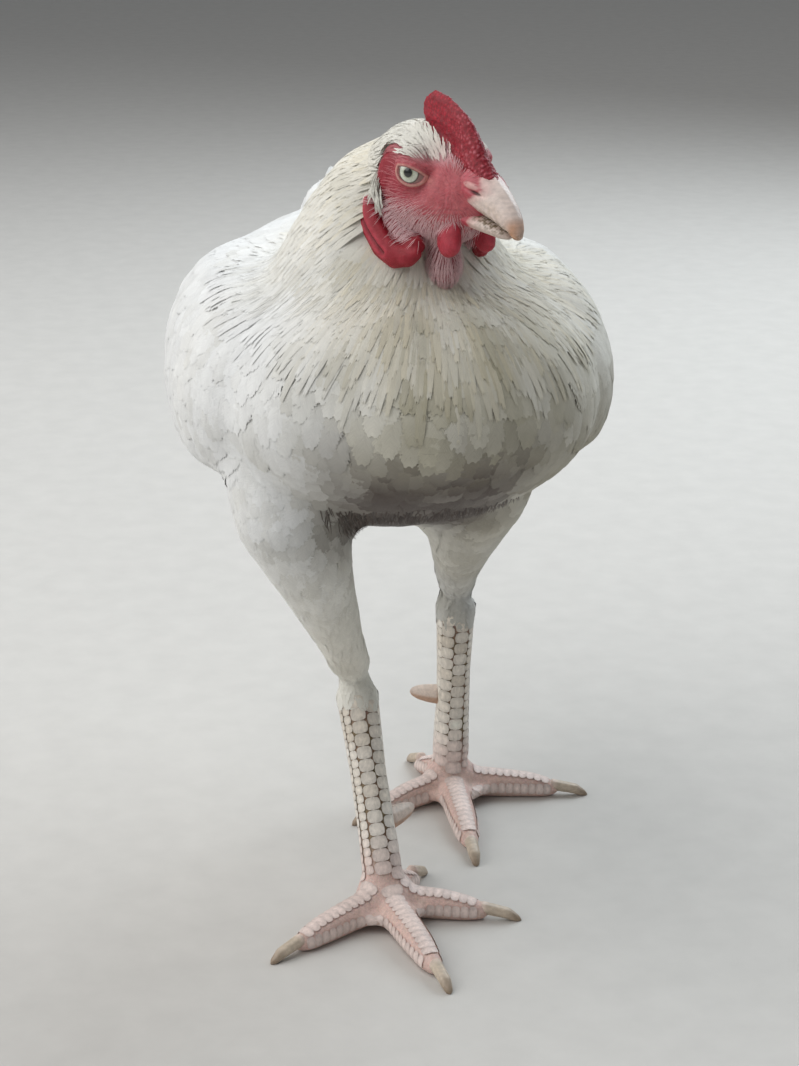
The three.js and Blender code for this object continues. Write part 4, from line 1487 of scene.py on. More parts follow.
def fan(count):
    """The ends of the stiff tail feathers. They stand like the two walls of a narrow tent."""
    points = points_of(frame["nodes"]["tail"].data)
    root = points[points[:, 1] < tail_low.y + 0.02].mean(axis=0)
    tip = points[points[:, 1] > tail_high.y - 0.02].mean(axis=0)
    back = unit(tip - root)
    tip = tip + back * (tail_high.y - tip[1])
    side = unit(np.cross(back, [0, 0, 1]))
    up = np.cross(side, back)
    starts, trails, normals = [], [], []
    for sign in (-1, 1):
        for place in np.linspace(-1, 1, count):
            lower = (1 - place) / 2
            way = back * math.cos(FAN_SPREAD * place) + up * math.sin(FAN_SPREAD * place)
            start = tip - back * FAN_START * MM + up * 6 * MM * place + side * sign * (0.3 + 1.0 * lower) * MM
            reach = np.linspace(0, FAN_LENGTH - 7 * lower, STEPS + 1) * MM
            starts.append(start)
            trails.append(start + way * reach[:, None])
            tilt = 0.1 + 1.2 * (1 - lower) ** 3
            normals.append(np.tile(side * sign * math.cos(tilt) + up * math.sin(tilt), (STEPS + 1, 1)))
    return np.array(starts), (np.array(trails), np.array(normals), np.zeros((2 * count, STEPS + 1)))


fan_roots, fan_path = fan(7)
tail_fan = feathers(body_surface, fan_roots, QUILL, lie_of_body, 50, 9, 0.0, softness=0.3, uneven=0.06,
                    path=fan_path, seed=55)
coat("coat_tail", tail_cover, tail_quills, tail_fan)

# %% [markdown]
# Under the belly, between the thighs, the feathers have no hooks to hold their barbs together. They are loose
# curly fluff, matted and dirty, and they hang a little below the body. Their dark brown is partly that dirt
# and partly painted shade under the body. The thighs wear small contour feathers again. Their coat thins out
# over the last few millimetres, so that it doesn't end in a step above the hock.

# %% Fluff of the belly
def strip(halves, sway, root_tone=1.0, tip_tone=1.0):
    """The pattern of a barbless feather. halves lists its half-width at places along it, and sway says how
    far it bends to the side."""
    pairs = [(t, sway(t) + side * half, 0) for t, half in halves for side in (-1, 1)]
    places = np.array([*pairs, (1.0, sway(1.0), 0)], float)
    return {"places": places, "faces": np.array(strip_faces(len(places))),
            "tones": np.linspace(root_tone, tip_tone, len(places)), "droop": 0.04}


FLUFF_HALVES = ((0.0, 0.30), (0.2, 0.42), (0.4, 0.42), (0.6, 0.36), (0.8, 0.26))
FLUFF = [strip(FLUFF_HALVES, lambda t: math.sin((0.9 + 0.25 * number) * 3.3 * t + number), 1.15, 0.85)
         for number in range(5)]


def under_the_belly(points):
    parts = nodes_at(points, COVERED)
    between = smoothstep(0.036, 0.027, np.abs(points[:, 0] + 0.004)) * smoothstep(0.03, 0.0, points[:, 1])
    fringe = between * smoothstep(0.172, 0.160, points[:, 2])
    return fringe * (parts == "trunk")


def fluff_tint(points):
    # the fluff's dark brown is partly dirt and partly painted shade, in a random amount for each feather
    dirt = random.uniform(0.7, 1.5, (len(points), 1))
    return np.clip(mix(plumage_colour(points), DIRT_AND_SHADE, 0.72) * dirt, 0, 0.8)


def hang_loose(points, parts):
    return lie_of_body(points, parts) + np.array([0, 0.1, -0.7])


fluff_roots = body_surface.scatter(lambda p: 1.25, under_the_belly, 55)
hanging = smoothstep(0.150, 0.165, fluff_roots[:, 2])
loose = feathers(body_surface, fluff_roots, FLUFF, hang_loose, 8 + 4 * hanging, 1.7, 4.5 + 3 * hanging,
                 rise=lambda t: t ** 0.6, wander=0.6, lean=0.5, softness=0.85, tint=fluff_tint, seed=56)
coat("coat_belly", loose)

# %% Thighs
def above_the_hock(points, low=-0.003, high=0.001):
    hocks = hock_heights(points, middle_of("trunk").x + 0.008)
    return smoothstep(low, high, points[:, 2] - hocks)


def thinning_coat(points):
    return thigh_coat(points) * (0.25 + 0.75 * above_the_hock(points, -0.001, 0.009))


thigh_coat = coat_height(0.84)


for side in SIDES:
    thigh = f"thigh_{side}"
    thigh_roots = body_surface.scatter(lambda p: 1.7 + 1.8 * smoothstep(0.085, 0.15, p[:, 2]),
                                       part_keeper([thigh], above_the_hock), 61)
    up_the_leg = smoothstep(0.085, 0.15, thigh_roots[:, 2])
    thigh_feathers = feathers(skin_surface, thigh_roots, CONTOUR, lie_of_body, 11 + 11 * up_the_leg,
                              5.5 + 6.5 * up_the_leg, thinning_coat, wander=0.07, uneven=0.015, seed=62)
    coat(f"coat_thigh_{side}", thigh_feathers)

# %% [markdown]
# ## The head's small feathers
# The crown wears short white feathers like scales of snow. The bare face isn't bare at all: hundreds of fine
# bristles, each a feather reduced to its shaft, stream back from the beak in rows. They are longest on the
# brow, the lower cheek and the throat, and hide the upper edge of the earlobe.

# %% Crown and ear tufts
CROWN_PINK = srgb(226, 178, 176)


def outside_body(points):
    """1 where a place on the head isn't buried in the body. The open face never is."""
    hits, normals = body_surface.nearest(points)
    fsu = to_head(points)
    open_face = (fsu[:, 0] > -21) & (fsu[:, 2] > -16)
    return (open_face | (np.sum((points - hits) * normals, axis=1) > 0.3 * MM)).astype(float)


def bare_of_lobes(points):
    inside = np.isin(nodes_at(points, HEAD_PARTS + ["beak_upper", "beak_lower"]), ("head", "throat_fold"))
    return inside * outside_body(points)


def on_crown(points):
    fsu = mirrored(to_head(points))
    return bare_of_lobes(points) * (crown_share(fsu) > 0.45) * (comb_foot(fsu) < 0.7)


def crown_tint(points):
    fsu = to_head(points)
    pinkish = smoothstep(-4, 10, fsu[:, 0]) * 0.5
    return mix(plumage_colour(points), CROWN_PINK, pinkish)


crown_roots = head_surface.scatter(lambda p: 0.72, on_crown, 71)
back_of_head = smoothstep(6, -14, to_head(crown_roots)[:, 0])
crown = feathers(head_surface, crown_roots, SMALL, lie_of_head, 6.0 + 4.5 * back_of_head,
                 0.8 + 0.7 * back_of_head, 1.2 + 0.6 * back_of_head, wander=0.12, tint=crown_tint, seed=72)


def ear_patch(points):
    side = mirrored(to_head(points))
    return bare_of_lobes(points) * (np.hypot((side[:, 0] + 16.0) / 6.0, (side[:, 2] + 10.0) / 6.0) < 1)


def down_over_the_lobe(points, parts):
    return np.tile(np.array([0.25, 0, -1.0]) @ HEAD_AXES, (len(points), 1))


ear_roots = head_surface.scatter(lambda p: 0.6, ear_patch, 73)
ear_tufts = feathers(head_surface, ear_roots, SMALL, down_over_the_lobe, 6.5, 0.75, 1.7, wander=0.22, seed=74)
coat("coat_head", crown, ear_tufts)

# %% Where bristles grow
BRISTLE_RED = srgb(198, 112, 118)
BRISTLE_PALE = srgb(224, 186, 188)
BRISTLE_HALVES = ((0.0, 1.0), (0.4, 0.85), (0.75, 0.55))
BRISTLE = [strip(BRISTLE_HALVES, lambda t: math.sin(2.1 * number) * t) for number in range(3)]


def on_face(points):
    fsu = to_head(points)
    side = mirrored(fsu)
    f, _, u = side.T
    _, _, past = seen_from_the_eye(fsu)
    keep = bare_of_lobes(points) * (crown_share(fsu) < 0.9) * (past > 1.1)
    patch = np.clip(1.5 * bump(f, -10.5, 4.2) * smoothstep(6, 2, u) * smoothstep(-13, -9, u), 0, 1)
    lore = bump(f, 16, 3.5) * bump(u, -3, 4)
    return keep * np.clip(1 - 0.97 * patch - 0.3 * lore - comb_foot(side), 0, 1)


def bristle_tint(points):
    u = to_head(points)[:, 2]
    pale = np.maximum(smoothstep(-6, -14, u), smoothstep(4, 9, u))
    return mix(BRISTLE_RED, BRISTLE_PALE, pale)


def bristle_gap(points):
    u = to_head(points)[:, 2]
    return 0.84 - 0.26 * np.maximum(smoothstep(-6, -13, u), smoothstep(3, 6, u))


def quick_rise(t):
    """A bristle stands up from its root at once."""
    return t ** 0.7


print(len(BRISTLE), "kinds of bristle")

# %% Bristles of the face and the root of the beak

bristle_roots = head_surface.scatter(bristle_gap, on_face, 75)
side = mirrored(to_head(bristle_roots))
low_cheek = smoothstep(-7, -15, side[:, 2])
brow = smoothstep(2.5, 5.5, side[:, 2])
throat = smoothstep(-20, -27, side[:, 2])
away_from_beak = smoothstep(13, 3, side[:, 0])
bristles = feathers(head_surface, bristle_roots, BRISTLE, lie_of_head,
                    2.2 + 2.0 * away_from_beak + 2.6 * low_cheek + 4.5 * brow * away_from_beak + 2.5 * throat,
                    0.17 + 0.03 * low_cheek + 0.10 * brow,
                    0.35 + 0.8 * low_cheek + 0.3 * brow + 0.8 * throat, rise=quick_rise, wander=0.2,
                    lean=0.6, softness=0.4, tint=bristle_tint, seed=76)
beak_surface = Surface(beak_upper.data)


def on_beak_root(points):
    fsu = mirrored(to_head(points))
    hits, normals = head_surface.nearest(points)
    outside = np.sum((points - hits) * normals, axis=1) > 0.1 * MM
    return ((fsu[:, 0] < horn_start(fsu) - 1.0) * (fsu[:, 1] > 3) * outside
            * (np.hypot(fsu[:, 0] - 24.5, (fsu[:, 2] - 1.2) * 1.6) > 3.2))


beak_roots = beak_surface.scatter(lambda p: 1.1, on_beak_root, 77)
beak_bristles = feathers(beak_surface, beak_roots, BRISTLE, lie_of_head, 2.0, 0.2, 0.35, rise=quick_rise,
                         wander=0.25, lean=0.6, softness=0.4, tint=bristle_tint, seed=78)
face_bristles = coat("face_bristles", bristles, beak_bristles)

# %% [markdown]
# ## Scales on the legs
# The front of a shank wears two columns of large rounded plates that meet in a zigzag, its sides and back
# wear small ones, and each toe has a row of narrow plates across its top. Every plate is one domed disc,
# squared a little, that is wrapped round the axis of its shank or toe. Between the plates the darker skin
# shows.

# %% One plate
PLATE_SINK = 0.25
PLATE_STEPS = ((0.10, 0.9), (0.26, 0.3), (0.34, 0.1))
THICKEST_LEG = 16 * MM


def plate_pattern(sides=12, square=0.62):
    """A domed disc: x and y from -1 to 1, and z from its sunken rim to its top."""
    shape = bmesh.new()
    bmesh.ops.create_circle(shape, cap_ends=True, segments=sides, radius=1.0)
    for face_inset, rise in PLATE_STEPS:
        middle = shape.faces[:]
        middle.sort(key=lambda face: face.calc_center_median().length)
        bmesh.ops.inset_region(shape, faces=middle[:1], thickness=face_inset, use_even_offset=False)
        for vert in middle[0].verts:
            vert.co.z += rise
    middle = min(shape.faces, key=lambda face: face.calc_center_median().length)
    bmesh.ops.poke(shape, faces=[middle], offset=0.06)
    bmesh.ops.triangulate(shape, faces=shape.faces[:])
    places = np.array([vert.co for vert in shape.verts])
    faces = np.array([[vert.index for vert in face.verts] for face in shape.faces])
    shape.free()
    angle = np.arctan2(places[:, 1], places[:, 0])
    radius = np.hypot(places[:, 0], places[:, 1])
    places[:, 0] = radius * np.sign(np.cos(angle)) * np.abs(np.cos(angle)) ** square
    places[:, 1] = radius * np.sign(np.sin(angle)) * np.abs(np.sin(angle)) ** square
    full_rise = sum(rise for _, rise in PLATE_STEPS)
    places[:, 2] = places[:, 2] / full_rise * (1 + PLATE_SINK) - PLATE_SINK
    return places, faces


PLATE, PLATE_FACES = plate_pattern()
print("a plate has", len(PLATE_FACES), "faces")


# %% Wrap plates round an axis
def plates(axis_from, axis_to, front, rows, colour_of):
    """Wraps plates round an axis. rows lists (share along the axis, angle from the front, half-length,
    half-width, thickness), with lengths in millimetres."""
    start, end = np.array(axis_from), np.array(axis_to)
    along = unit(end - start)
    length = np.linalg.norm(end - start)
    front = unit(front - along * (front @ along))
    across = np.cross(along, front)
    points, faces, colours = [], [], []

    def cast(along_axis, angle):
        """Looks from the axis for the skin: the way it looked, the place that it found, and how far off."""
        way = front * math.cos(angle) + across * math.sin(angle)
        hit = skin_surface.tree.ray_cast(Vector(start + along * along_axis), Vector(way))
        return way, hit[0], hit[3]

    for share, angle, half_long, half_wide, thick in rows:
        _, _, girth = cast(share * length, angle)
        if girth is None or girth > THICKEST_LEG:
            continue
        turn = half_wide * MM / girth
        farthest = 1.5 * girth + 2 * MM
        casts = [cast(share * length + y * half_long * MM, angle + turn * x) for x, y, _ in PLATE]
        if any(place is None or off > farthest for _, place, off in casts):
            continue
        plate = np.array([np.array(place) + way * z * thick * MM
                          for (way, place, _), z in zip(casts, PLATE[:, 2])])
        faces.append(PLATE_FACES + len(points) * len(PLATE))
        points.append(plate)
        shade = colour_of(plate.mean(axis=0)[None])[0] * random.normal(1, 0.035)
        rim = 1 - 0.22 * smoothstep(0.6, 1.0, np.hypot(PLATE[:, 0], PLATE[:, 1]))
        colours.append(shade[None] * rim[:, None])
    return np.concatenate(points), np.concatenate(faces), np.concatenate(colours)


print("a leg thicker than", THICKEST_LEG, "m from its axis is left bare")

# %% Scales of shanks and toes
# distances from one plate to the next, in millimetres
SHANK_PITCH = 4.8
SIDE_PITCH = 3.3
TOE_PITCH = 3.1
FRONT_ANGLE = 0.35
SIDE_ANGLE = 0.92
PLATE_CREAM = srgb(250, 242, 230)
PLATE_PINK = srgb(244, 220, 212)
PLATE_STAIN = srgb(206, 186, 156)


def plate_colour(points):
    z = points[:, 2]
    blotch = 0.5 + 0.5 * soft_noise(points, 0.012, 21)
    colour = mix(PLATE_CREAM, PLATE_STAIN, 0.35 * blotch * smoothstep(0.03, 0.05, z))
    return mix(colour, PLATE_PINK, 0.8 * smoothstep(0.034, 0.018, z))


def shank_rows(long):
    """Two columns of large plates down the front, and ten columns of small ones round the rest."""
    rows = []
    count = int(long * 0.94 // SHANK_PITCH)
    for number in range(count):
        share = (number + 0.5) * SHANK_PITCH / long + 0.06
        wide = 2.75 if number < count - 3 else 3.1
        rows.append((share, FRONT_ANGLE, 2.4, wide, 0.6))
        rows.append((share + 0.5 * SHANK_PITCH / long, -FRONT_ANGLE, 2.4, wide, 0.6))
    for column, angle in enumerate(np.linspace(SIDE_ANGLE, 2 * math.pi - SIDE_ANGLE, 10)):
        for number in range(int(long * 0.92 // SIDE_PITCH)):
            share = (number + 0.5 + 0.5 * (column % 2)) * SIDE_PITCH / long + 0.02
            rows.append((share, angle, 1.65, 1.9, 0.4))
    return rows


def toe_rows(long):
    """A row of broad plates along the top of a toe, and a row of small ones down each side."""
    rows = []
    for number in range(int(long * 0.9 // TOE_PITCH)):
        share = (number + 0.6) * TOE_PITCH / long
        rows.append((share, 0.0, 1.72, 4.0 - 1.2 * share, 0.5))
        for angle in (1.25, -1.25):
            rows.append((share + 0.3 * TOE_PITCH / long, angle, 1.55, 2.1, 0.4))
    return rows


for side, sign in SIDES.items():
    top, bottom = ends_of(f"shank_{side}")
    front = np.array([0.10 * -sign, -1.0, 0.1])
    rows = shank_rows(np.linalg.norm(bottom - top) / MM)
    bunch = [plates(top, bottom, front, rows, plate_colour)]
    for toe in TOES:
        near, far = (end.copy() for end in outward_ends(f"toe_{toe}_{side}", side))
        near[2] = max(near[2] * 0.6, 3.2 * MM)
        far[2] = max(far[2] * 0.8, 2.6 * MM)
        rows = toe_rows(np.linalg.norm(far - near) / MM)
        bunch.append(plates(near, far, np.array([0, 0, 1.0]), rows, plate_colour))
    starts = np.cumsum([0] + [len(points) for points, faces, colours in bunch])
    points = np.concatenate([b[0] for b in bunch])
    faces = np.concatenate([b[1] + start for b, start in zip(bunch, starts)])
    colours = np.concatenate([b[2] for b in bunch])
    mesh = bpy.data.meshes.new(f"leg_scales_{side}")
    mesh.from_pydata(points.tolist(), [], faces.tolist())
    shade_smooth(mesh)
    give_colour(mesh, colours)
    shape = bmesh.new()
    shape.from_mesh(mesh)
    bmesh.ops.recalc_face_normals(shape, faces=shape.faces[:])
    shape.to_mesh(mesh)
    shape.free()
    # each corner takes its own place on the map, so a plate that crosses a seam of the unwrap is stretched
    # there
    roots = on_the_map(points)
    layer = mesh.uv_layers.new(name="OFBake")
    corner = np.array([loop.vertex_index for loop in mesh.loops])
    layer.data.foreach_set("uv", roots[corner].astype(np.float32).ravel())
    piece = object_of(f"leg_scales_{side}", mesh)
    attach(piece, "root")
    report(piece)

# %% [markdown]
# ## Horn, claws and eyes
# Horn is laid down in thin layers, so its colour runs in bands along it. The beak is pinkish where it leaves
# the skin, whitish over the ridge, and stained olive-brown along the cutting edges. The nostril opens under
# a soft flap, and its slit is painted dark as the shade inside it. The claws are short and worn, darker at
# the tip.

# %% Colour the horn
BEAK_WHITE = srgb(232, 214, 204)
BEAK_PINK = srgb(212, 158, 154)
BEAK_STAIN = srgb(104, 86, 52)
BEAK_TIP = srgb(196, 142, 104)
CLAW_PALE = srgb(206, 190, 170)
CLAW_DARK = srgb(138, 116, 94)
BEAK_TAN = srgb(186, 160, 128)
BEAK_UNDER = srgb(206, 184, 172)
BEAK_FLESH = srgb(196, 92, 98)
NOSTRIL_FLAP = srgb(222, 172, 166)
# painted shade for the inside of the nostril
NOSTRIL_SHADE = srgb(62, 30, 28)
# brown painted shade for the spur's downward-facing sides
SPUR_SHADE_BROWN = srgb(170, 116, 74)

TOP_EDGE = [(18, -6.5), (26, -6.8), (31.5, -7.9), (40, -8.8), (44.3, -10)]


def beak_colour(points):
    side = mirrored(to_head(points))
    f, _, u = side.T
    mottle = 0.5 + 0.5 * soft_noise(side, 2.2, 31)
    flesh = smoothstep(0.9, -1.1, f - horn_start(side) + 0.5 * (mottle - 0.5))
    colour = mix(BEAK_WHITE, BEAK_PINK, 0.6 * smoothstep(6, 0, f - horn_start(side)))
    edge = from_line(side[:, [0, 2]], TOP_EDGE)
    specks = smoothstep(0.35, 0.75, 0.5 + 0.5 * soft_noise(side, 1.1, 35) + 0.35 * (mottle - 0.5))
    stain = bump(edge, 0, 2.4) * smoothstep(21, 26, f) * (0.25 + 0.75 * specks)
    colour = mix(colour, BEAK_STAIN, np.clip(stain, 0, 0.88))
    flank = bump(u, -3.5, 2.4) * bump(f, 34, 5) * 0.35 * mottle
    colour = mix(colour, BEAK_TAN, flank)
    colour = mix(colour, BEAK_TIP, np.clip(bump(f, 43.2, 2.4) * smoothstep(-1.5, -6, u) * 0.8, 0, 1))
    below = smoothstep(-8.8, -10.5, u)
    colour = mix(colour, BEAK_UNDER, 0.5 * below)
    colour = mix(colour, mix(BARE_FACE, BEAK_FLESH, 0.6 * mottle), flesh)
    flap = np.hypot((f - 24.2) / 3.6, (u - 2.5) / 1.2)
    colour = mix(colour, NOSTRIL_FLAP, 0.85 * smoothstep(1.2, 0.6, flap))
    # the nostril's slit is painted dark, as the shade inside its opening
    nostril = np.hypot((f - 26.4) / 2.6, (u - 0.75 + 0.05 * (f - 26)) / 0.62)
    return mix(colour, NOSTRIL_SHADE, 0.9 * smoothstep(1.2, 0.6, nostril))


def claw_colour(points, root, tip):
    share = np.clip((points - root) @ unit(tip - root) / np.linalg.norm(tip - root), 0, 1)
    streak = 0.5 + 0.5 * soft_noise(points, 0.0016, 33)
    colour = mix(CLAW_PALE, CLAW_DARK, np.clip(smoothstep(0.55, 1.0, share) * 0.7 + 0.2 * streak, 0, 1))
    return mix(colour, PLATE_PINK, 0.6 * smoothstep(0.25, 0.0, share))


for half in (beak_upper, beak_lower):
    give_colour(half.data, beak_colour(points_of(half.data)))
for side in SIDES:
    for toe in TOES:
        nail = bpy.data.objects[f"nail_{toe}_{side}"]
        points = points_of(nail.data)
        root = middle_of(f"toe_{toe}_{side}")
        away = np.linalg.norm(points - np.array(root), axis=1)
        give_colour(nail.data, claw_colour(points, points[away.argmin()], points[away.argmax()]))
    spur = bpy.data.objects[f"leg_spur_{side}"]
    points = points_of(spur.data)
    away = np.linalg.norm(points[:, :2] - np.array(middle_of(f"shank_{side}"))[:2], axis=1)
    colour = claw_colour(points, points[away.argmin()], points[away.argmax()])
    # the spur's sides and underside, which face downward, get a brown painted shade
    low = smoothstep(0.45, -0.55, normals_of(spur.data)[:, 2])
    give_colour(spur.data, mix(mix(BEAK_WHITE, colour, 0.4), SPUR_SHADE_BROWN, 0.7 * low))
for eye, centre, sight in eyeballs.values():
    away = np.arccos(np.clip(unit(points_of(eye.data) - np.array(centre)) @ np.array(sight), -1, 1))
    give_colour(eye.data, np.repeat(away[:, None] / math.pi, 3, axis=1), "from_sight")
print("horn coloured, and each eye measured from its line of sight")

# %% [markdown]
# ## Materials
# Every surface reads its colour from the mesh, and the material adds what is finer than the mesh: barbs on
# the feathers, pores and creases on the skin, growth lines on the horn, the fibres of the iris.

# %% Material tools
def material(name, roughness, **sockets):
    """A new material with its constant values set on the shader's own sockets."""
    made = bpy.data.materials.new(name)
    made.use_nodes = True
    shader = made.node_tree.nodes["Principled BSDF"]
    shader.inputs["Roughness"].default_value = roughness
    for title, value in sockets.items():
        shader.inputs[title.replace("_", " ")].default_value = value
    return made, made.node_tree.nodes, made.node_tree.links, shader


def noise(nodes, links, coordinates, scale, detail=3.0, roughness=0.55):
    texture = nodes.new("ShaderNodeTexNoise")
    texture.inputs["Scale"].default_value = scale
    texture.inputs["Detail"].default_value = detail
    texture.inputs["Roughness"].default_value = roughness
    links.new(coordinates, texture.inputs["Vector"])
    return texture.outputs["Fac"]


def stretched(nodes, links, coordinates, scale, turn=(0, 0, 0)):
    mapping = nodes.new("ShaderNodeMapping")
    mapping.inputs["Scale"].default_value = scale
    mapping.inputs["Rotation"].default_value = turn
    links.new(coordinates, mapping.inputs["Vector"])
    return mapping.outputs["Vector"]


def spread(nodes, links, value, low, high, from_low=0.3, from_high=0.7):
    mapped = nodes.new("ShaderNodeMapRange")
    for title, number in (("From Min", from_low), ("From Max", from_high), ("To Min", low), ("To Max", high)):
        mapped.inputs[title].default_value = number
    links.new(value, mapped.inputs["Value"])
    return mapped.outputs["Result"]


def tinted(nodes, links, colour, value, low, high):
    """Multiplies a colour by a value that runs between two greys."""
    mixer = nodes.new("ShaderNodeMix")
    mixer.data_type = "RGBA"
    mixer.blend_type = "MULTIPLY"
    mixer.inputs["Factor"].default_value = 1.0
    links.new(colour, mixer.inputs[6])
    links.new(spread(nodes, links, value, low, high), mixer.inputs[7])
    return mixer.outputs[2]


def bumped(nodes, links, shader, height, strength, distance):
    node = nodes.new("ShaderNodeBump")
    node.inputs["Strength"].default_value = strength
    node.inputs["Distance"].default_value = distance
    links.new(height, node.inputs["Height"])
    links.new(node.outputs["Normal"], shader.inputs["Normal"])


def mesh_colour(nodes, title="colour"):
    node = nodes.new("ShaderNodeAttribute")
    node.attribute_name = title
    return node.outputs["Color"]


def places(nodes):
    return nodes.new("ShaderNodeTexCoord").outputs["Object"]


print("material tools ready")


# %% Feather material
BARB_DEPTH = 0.35


def feather_material(name):
    """Barbs slant outwards from the shaft, drawn on the feather's own flat map."""
    made, nodes, links, shader = material(name, 0.85, Sheen_Weight=0.25, Sheen_Roughness=0.5,
                                          Specular_IOR_Level=0.25)
    flat = nodes.new("ShaderNodeUVMap")
    flat.uv_map = "vane"
    parts = nodes.new("ShaderNodeSeparateXYZ")
    links.new(flat.outputs["UV"], parts.inputs["Vector"])
    values = [parts.outputs["X"]]
    for operation, number in (("SUBTRACT", 0.5), ("ABSOLUTE", 0.0), ("MULTIPLY", -0.55)):
        step = nodes.new("ShaderNodeMath")
        step.operation = operation
        step.inputs[1].default_value = number
        links.new(values[-1], step.inputs[0])
        values.append(step.outputs[0])
    slanted = nodes.new("ShaderNodeMath")
    links.new(values[-1], slanted.inputs[0])
    links.new(parts.outputs["Y"], slanted.inputs[1])
    both = nodes.new("ShaderNodeCombineXYZ")
    links.new(slanted.outputs[0], both.inputs["Y"])
    links.new(parts.outputs["X"], both.inputs["X"])
    barbs = noise(nodes, links, stretched(nodes, links, both.outputs["Vector"], (3, 70, 1)), 1.0, 2.0)
    clouds = noise(nodes, links, places(nodes), 140, 3.0)
    colour = tinted(nodes, links, mesh_colour(nodes), barbs, 0.90, 1.04)
    links.new(tinted(nodes, links, colour, clouds, 0.94, 1.03), shader.inputs["Base Color"])
    bumped(nodes, links, shader, barbs, BARB_DEPTH, 0.0003)
    return made


plumage = feather_material("plumage")
print(plumage.name, "has", len(plumage.node_tree.nodes), "nodes")

# %% Skin, horn and scale materials
bare_skin, nodes, links, shader = material("bare skin", 0.5, Subsurface_Weight=0.12, Subsurface_Scale=0.0015,
                                           Specular_IOR_Level=0.45)
where = places(nodes)
pores = noise(nodes, links, where, 2200, 2.0)
creases = noise(nodes, links, where, 620, 4.0, 0.65)
colour = tinted(nodes, links, mesh_colour(nodes), creases, 0.82, 1.10)
links.new(tinted(nodes, links, colour, pores, 0.92, 1.06), shader.inputs["Base Color"])
links.new(spread(nodes, links, creases, 0.62, 0.42), shader.inputs["Roughness"])
both = nodes.new("ShaderNodeMath")
both.operation = "ADD"
links.new(pores, both.inputs[0])
links.new(creases, both.inputs[1])
bumped(nodes, links, shader, both.outputs[0], 0.5, 0.0004)

bristle, nodes, links, shader = material("bristle", 0.55, Specular_IOR_Level=0.4)
links.new(tinted(nodes, links, mesh_colour(nodes), noise(nodes, links, places(nodes), 900), 0.85, 1.1),
          shader.inputs["Base Color"])


def horn_material(name, roughness, grain, depth, turn=(0, 0, 0)):
    made, nodes, links, shader = material(name, roughness, Coat_Weight=0.12, Coat_Roughness=0.35)
    where = places(nodes)
    layers = noise(nodes, links, stretched(nodes, links, where, grain, turn), 1.0, 4.0)
    specks = noise(nodes, links, where, 700, 3.0)
    colour = tinted(nodes, links, mesh_colour(nodes), layers, 0.86, 1.08)
    links.new(tinted(nodes, links, colour, specks, 0.90, 1.06), shader.inputs["Base Color"])
    links.new(spread(nodes, links, specks, roughness - 0.08, roughness + 0.12), shader.inputs["Roughness"])
    bumped(nodes, links, shader, layers, depth, 0.0003)
    return made


heading = math.atan2(head_forward.y, head_forward.x)
beak_horn = horn_material("beak horn", 0.42, (160, 900, 900), 0.35, (0, math.radians(10), -heading))
claw_horn = horn_material("claw horn", 0.5, (500, 500, 900), 0.3)
spur_horn = horn_material("spur horn", 0.5, (900, 300, 900), 0.3)
scale_horn = horn_material("leg scale", 0.55, (900, 900, 260), 0.4)
for made in (bare_skin, bristle, beak_horn, claw_horn, spur_horn, scale_horn):
    print(made.name, "has", len(made.node_tree.nodes), "nodes")

# %% Eye material
eye_glass, nodes, links, shader = material("eye", 0.25, Coat_Weight=1.0, Coat_Roughness=0.03)
angle = nodes.new("ShaderNodeSeparateColor")
links.new(mesh_colour(nodes, "from_sight"), angle.inputs["Color"])
rings = nodes.new("ShaderNodeValToRGB")
# angles from the line of sight, as shares of half a turn
IRIS = 29.5 / 180
PUPIL = 12.4 / 180
stops = ((0.0, (3, 3, 4)), (PUPIL - 0.003, (4, 4, 5)), (PUPIL + 0.004, (150, 152, 130)),
         (PUPIL + 0.025, (206, 212, 192)), (IRIS - 0.018, (214, 218, 202)), (IRIS - 0.006, (120, 110, 92)),
         (IRIS + 0.003, (30, 18, 16)), (IRIS + 0.014, (150, 104, 98)), (0.4, (150, 104, 98)))
while len(rings.color_ramp.elements) < len(stops):
    rings.color_ramp.elements.new(0.5)
for element, (place, tone) in zip(rings.color_ramp.elements, stops):
    element.position = place
    element.color = (*srgb(*tone), 1)
links.new(angle.outputs[0], rings.inputs["Fac"])
fibres = noise(nodes, links, places(nodes), 1500, 4.0, 0.6)
links.new(tinted(nodes, links, rings.outputs["Color"], fibres, 0.8, 1.12), shader.inputs["Base Color"])
print("the eye has", len(stops), "rings of colour")

# %% Put the materials on
def dress(piece, made):
    piece.data.materials.clear()
    piece.data.materials.append(made)


for piece in bpy.context.scene.objects:
    if piece.name.startswith("coat_"):
        dress(piece, plumage)
    elif piece.name.startswith("leg_scales"):
        dress(piece, scale_horn)
    elif piece.name.startswith("nail_"):
        dress(piece, claw_horn)
    elif piece.name.startswith("leg_spur"):
        dress(piece, spur_horn)
for piece, made in ((skin, bare_skin), (face_bristles, bristle), (beak_upper, beak_horn),
                    (beak_lower, beak_horn)):
    dress(piece, made)
for eye, _, _ in eyeballs.values():
    dress(eye, eye_glass)
print(len(bpy.data.materials), "materials")

# %% [markdown]
# ## The studio
# One large soft lamp stands high on the bird's right, as a window would. A weaker one behind it, on its left,
# stands for the sky, and the
# room gives back a weak even light. The floor is plain, pale and wide enough to have no edge in the main
# view.

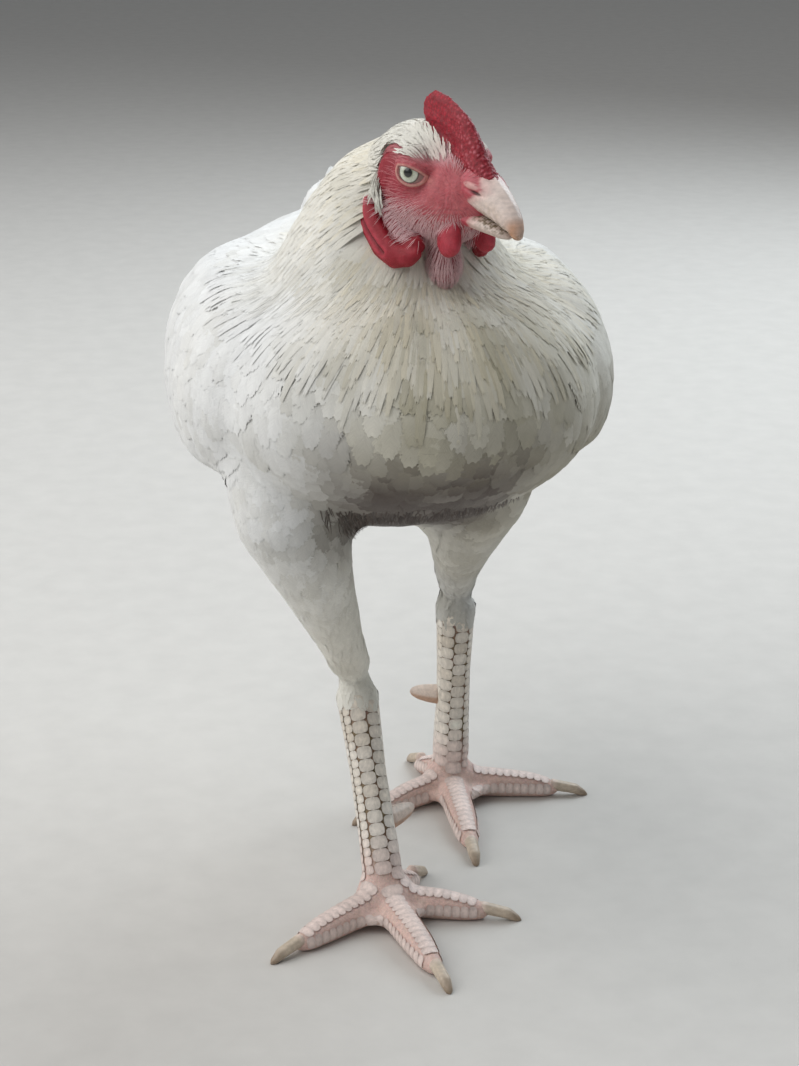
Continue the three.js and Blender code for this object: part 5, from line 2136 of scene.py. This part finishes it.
# %% Floor
FLOOR_HALF = 6.0
FLOOR_GREY = srgb(206, 203, 198)
floor_shape = bmesh.new()
bmesh.ops.create_grid(floor_shape, x_segments=1, y_segments=1, size=FLOOR_HALF)
floor_mesh = mesh_of(floor_shape, "floor")
floor = object_of("floor", floor_mesh)
floor_paint, nodes, links, shader = material("floor paint", 0.8)
grain = noise(nodes, links, places(nodes), 60, 4.0)
links.new(tinted(nodes, links, mesh_colour(nodes), grain, 0.97, 1.03), shader.inputs["Base Color"])
give_colour(floor_mesh, np.tile(FLOOR_GREY, (len(floor_mesh.vertices), 1)))
dress(floor, floor_paint)
print("the floor is", 2 * FLOOR_HALF, "m across")

# %% Light
KEY_PLACE = Vector((-0.90, 0.02, 1.12))
KEY_POWER = 24
SKY_PLACE = Vector((0.75, 0.75, 1.05))
SKY_POWER = 15
KEY_SIZE = 2.2
SKY_SIZE = 1.2
ROOM_LIGHT = 0.23
BIRD_MIDDLE = Vector((0, -0.03, 0.16))


def soft_lamp(name, place, power, size, colour):
    lamp = bpy.data.lights.new(name, "AREA")
    lamp.energy, lamp.size, lamp.color = power, size, colour
    holder = bpy.data.objects.new(name, lamp)
    holder.location = place
    holder.rotation_euler = (BIRD_MIDDLE - place).to_track_quat("-Z", "Y").to_euler()
    bpy.context.scene.collection.objects.link(holder)


soft_lamp("window", KEY_PLACE, KEY_POWER, KEY_SIZE, (1.0, 0.99, 0.98))
soft_lamp("sky behind", SKY_PLACE, SKY_POWER, SKY_SIZE, (0.86, 0.94, 1.0))

room = bpy.data.worlds.new("room")
room.use_nodes = True
walls = room.node_tree.nodes["Background"]
walls.inputs["Color"].default_value = (0.92, 0.96, 1.0, 1)
walls.inputs["Strength"].default_value = ROOM_LIGHT
bpy.context.scene.world = room
bpy.context.scene.view_settings.view_transform = "Standard"
bpy.context.scene.view_settings.look = "None"
print("lamps of", KEY_POWER, "and", SKY_POWER, "watts")

# %% Camera
CAMERA_PLACE = (-0.14697, -0.87395, 0.414)
CAMERA_TURN = math.radians(-10)
CAMERA_DROP = math.radians(18.5)
lens = bpy.data.cameras.new("camera")
lens.lens, lens.sensor_width = 80.2, 36
camera = bpy.data.objects.new("camera", lens)
camera.location = CAMERA_PLACE
camera.rotation_euler = (math.pi / 2 - CAMERA_DROP, 0, CAMERA_TURN)
bpy.context.scene.collection.objects.link(camera)
bpy.context.scene.camera = camera
print("camera", round((camera.location - BIRD_MIDDLE).length, 2), "m from the bird")

# %% [markdown]
# ## Finish
# The working meshes that the skin was joined from are taken away.

# %% Clear the bench
for helper in (body, head_skin, legs_skin):
    bpy.data.objects.remove(helper)
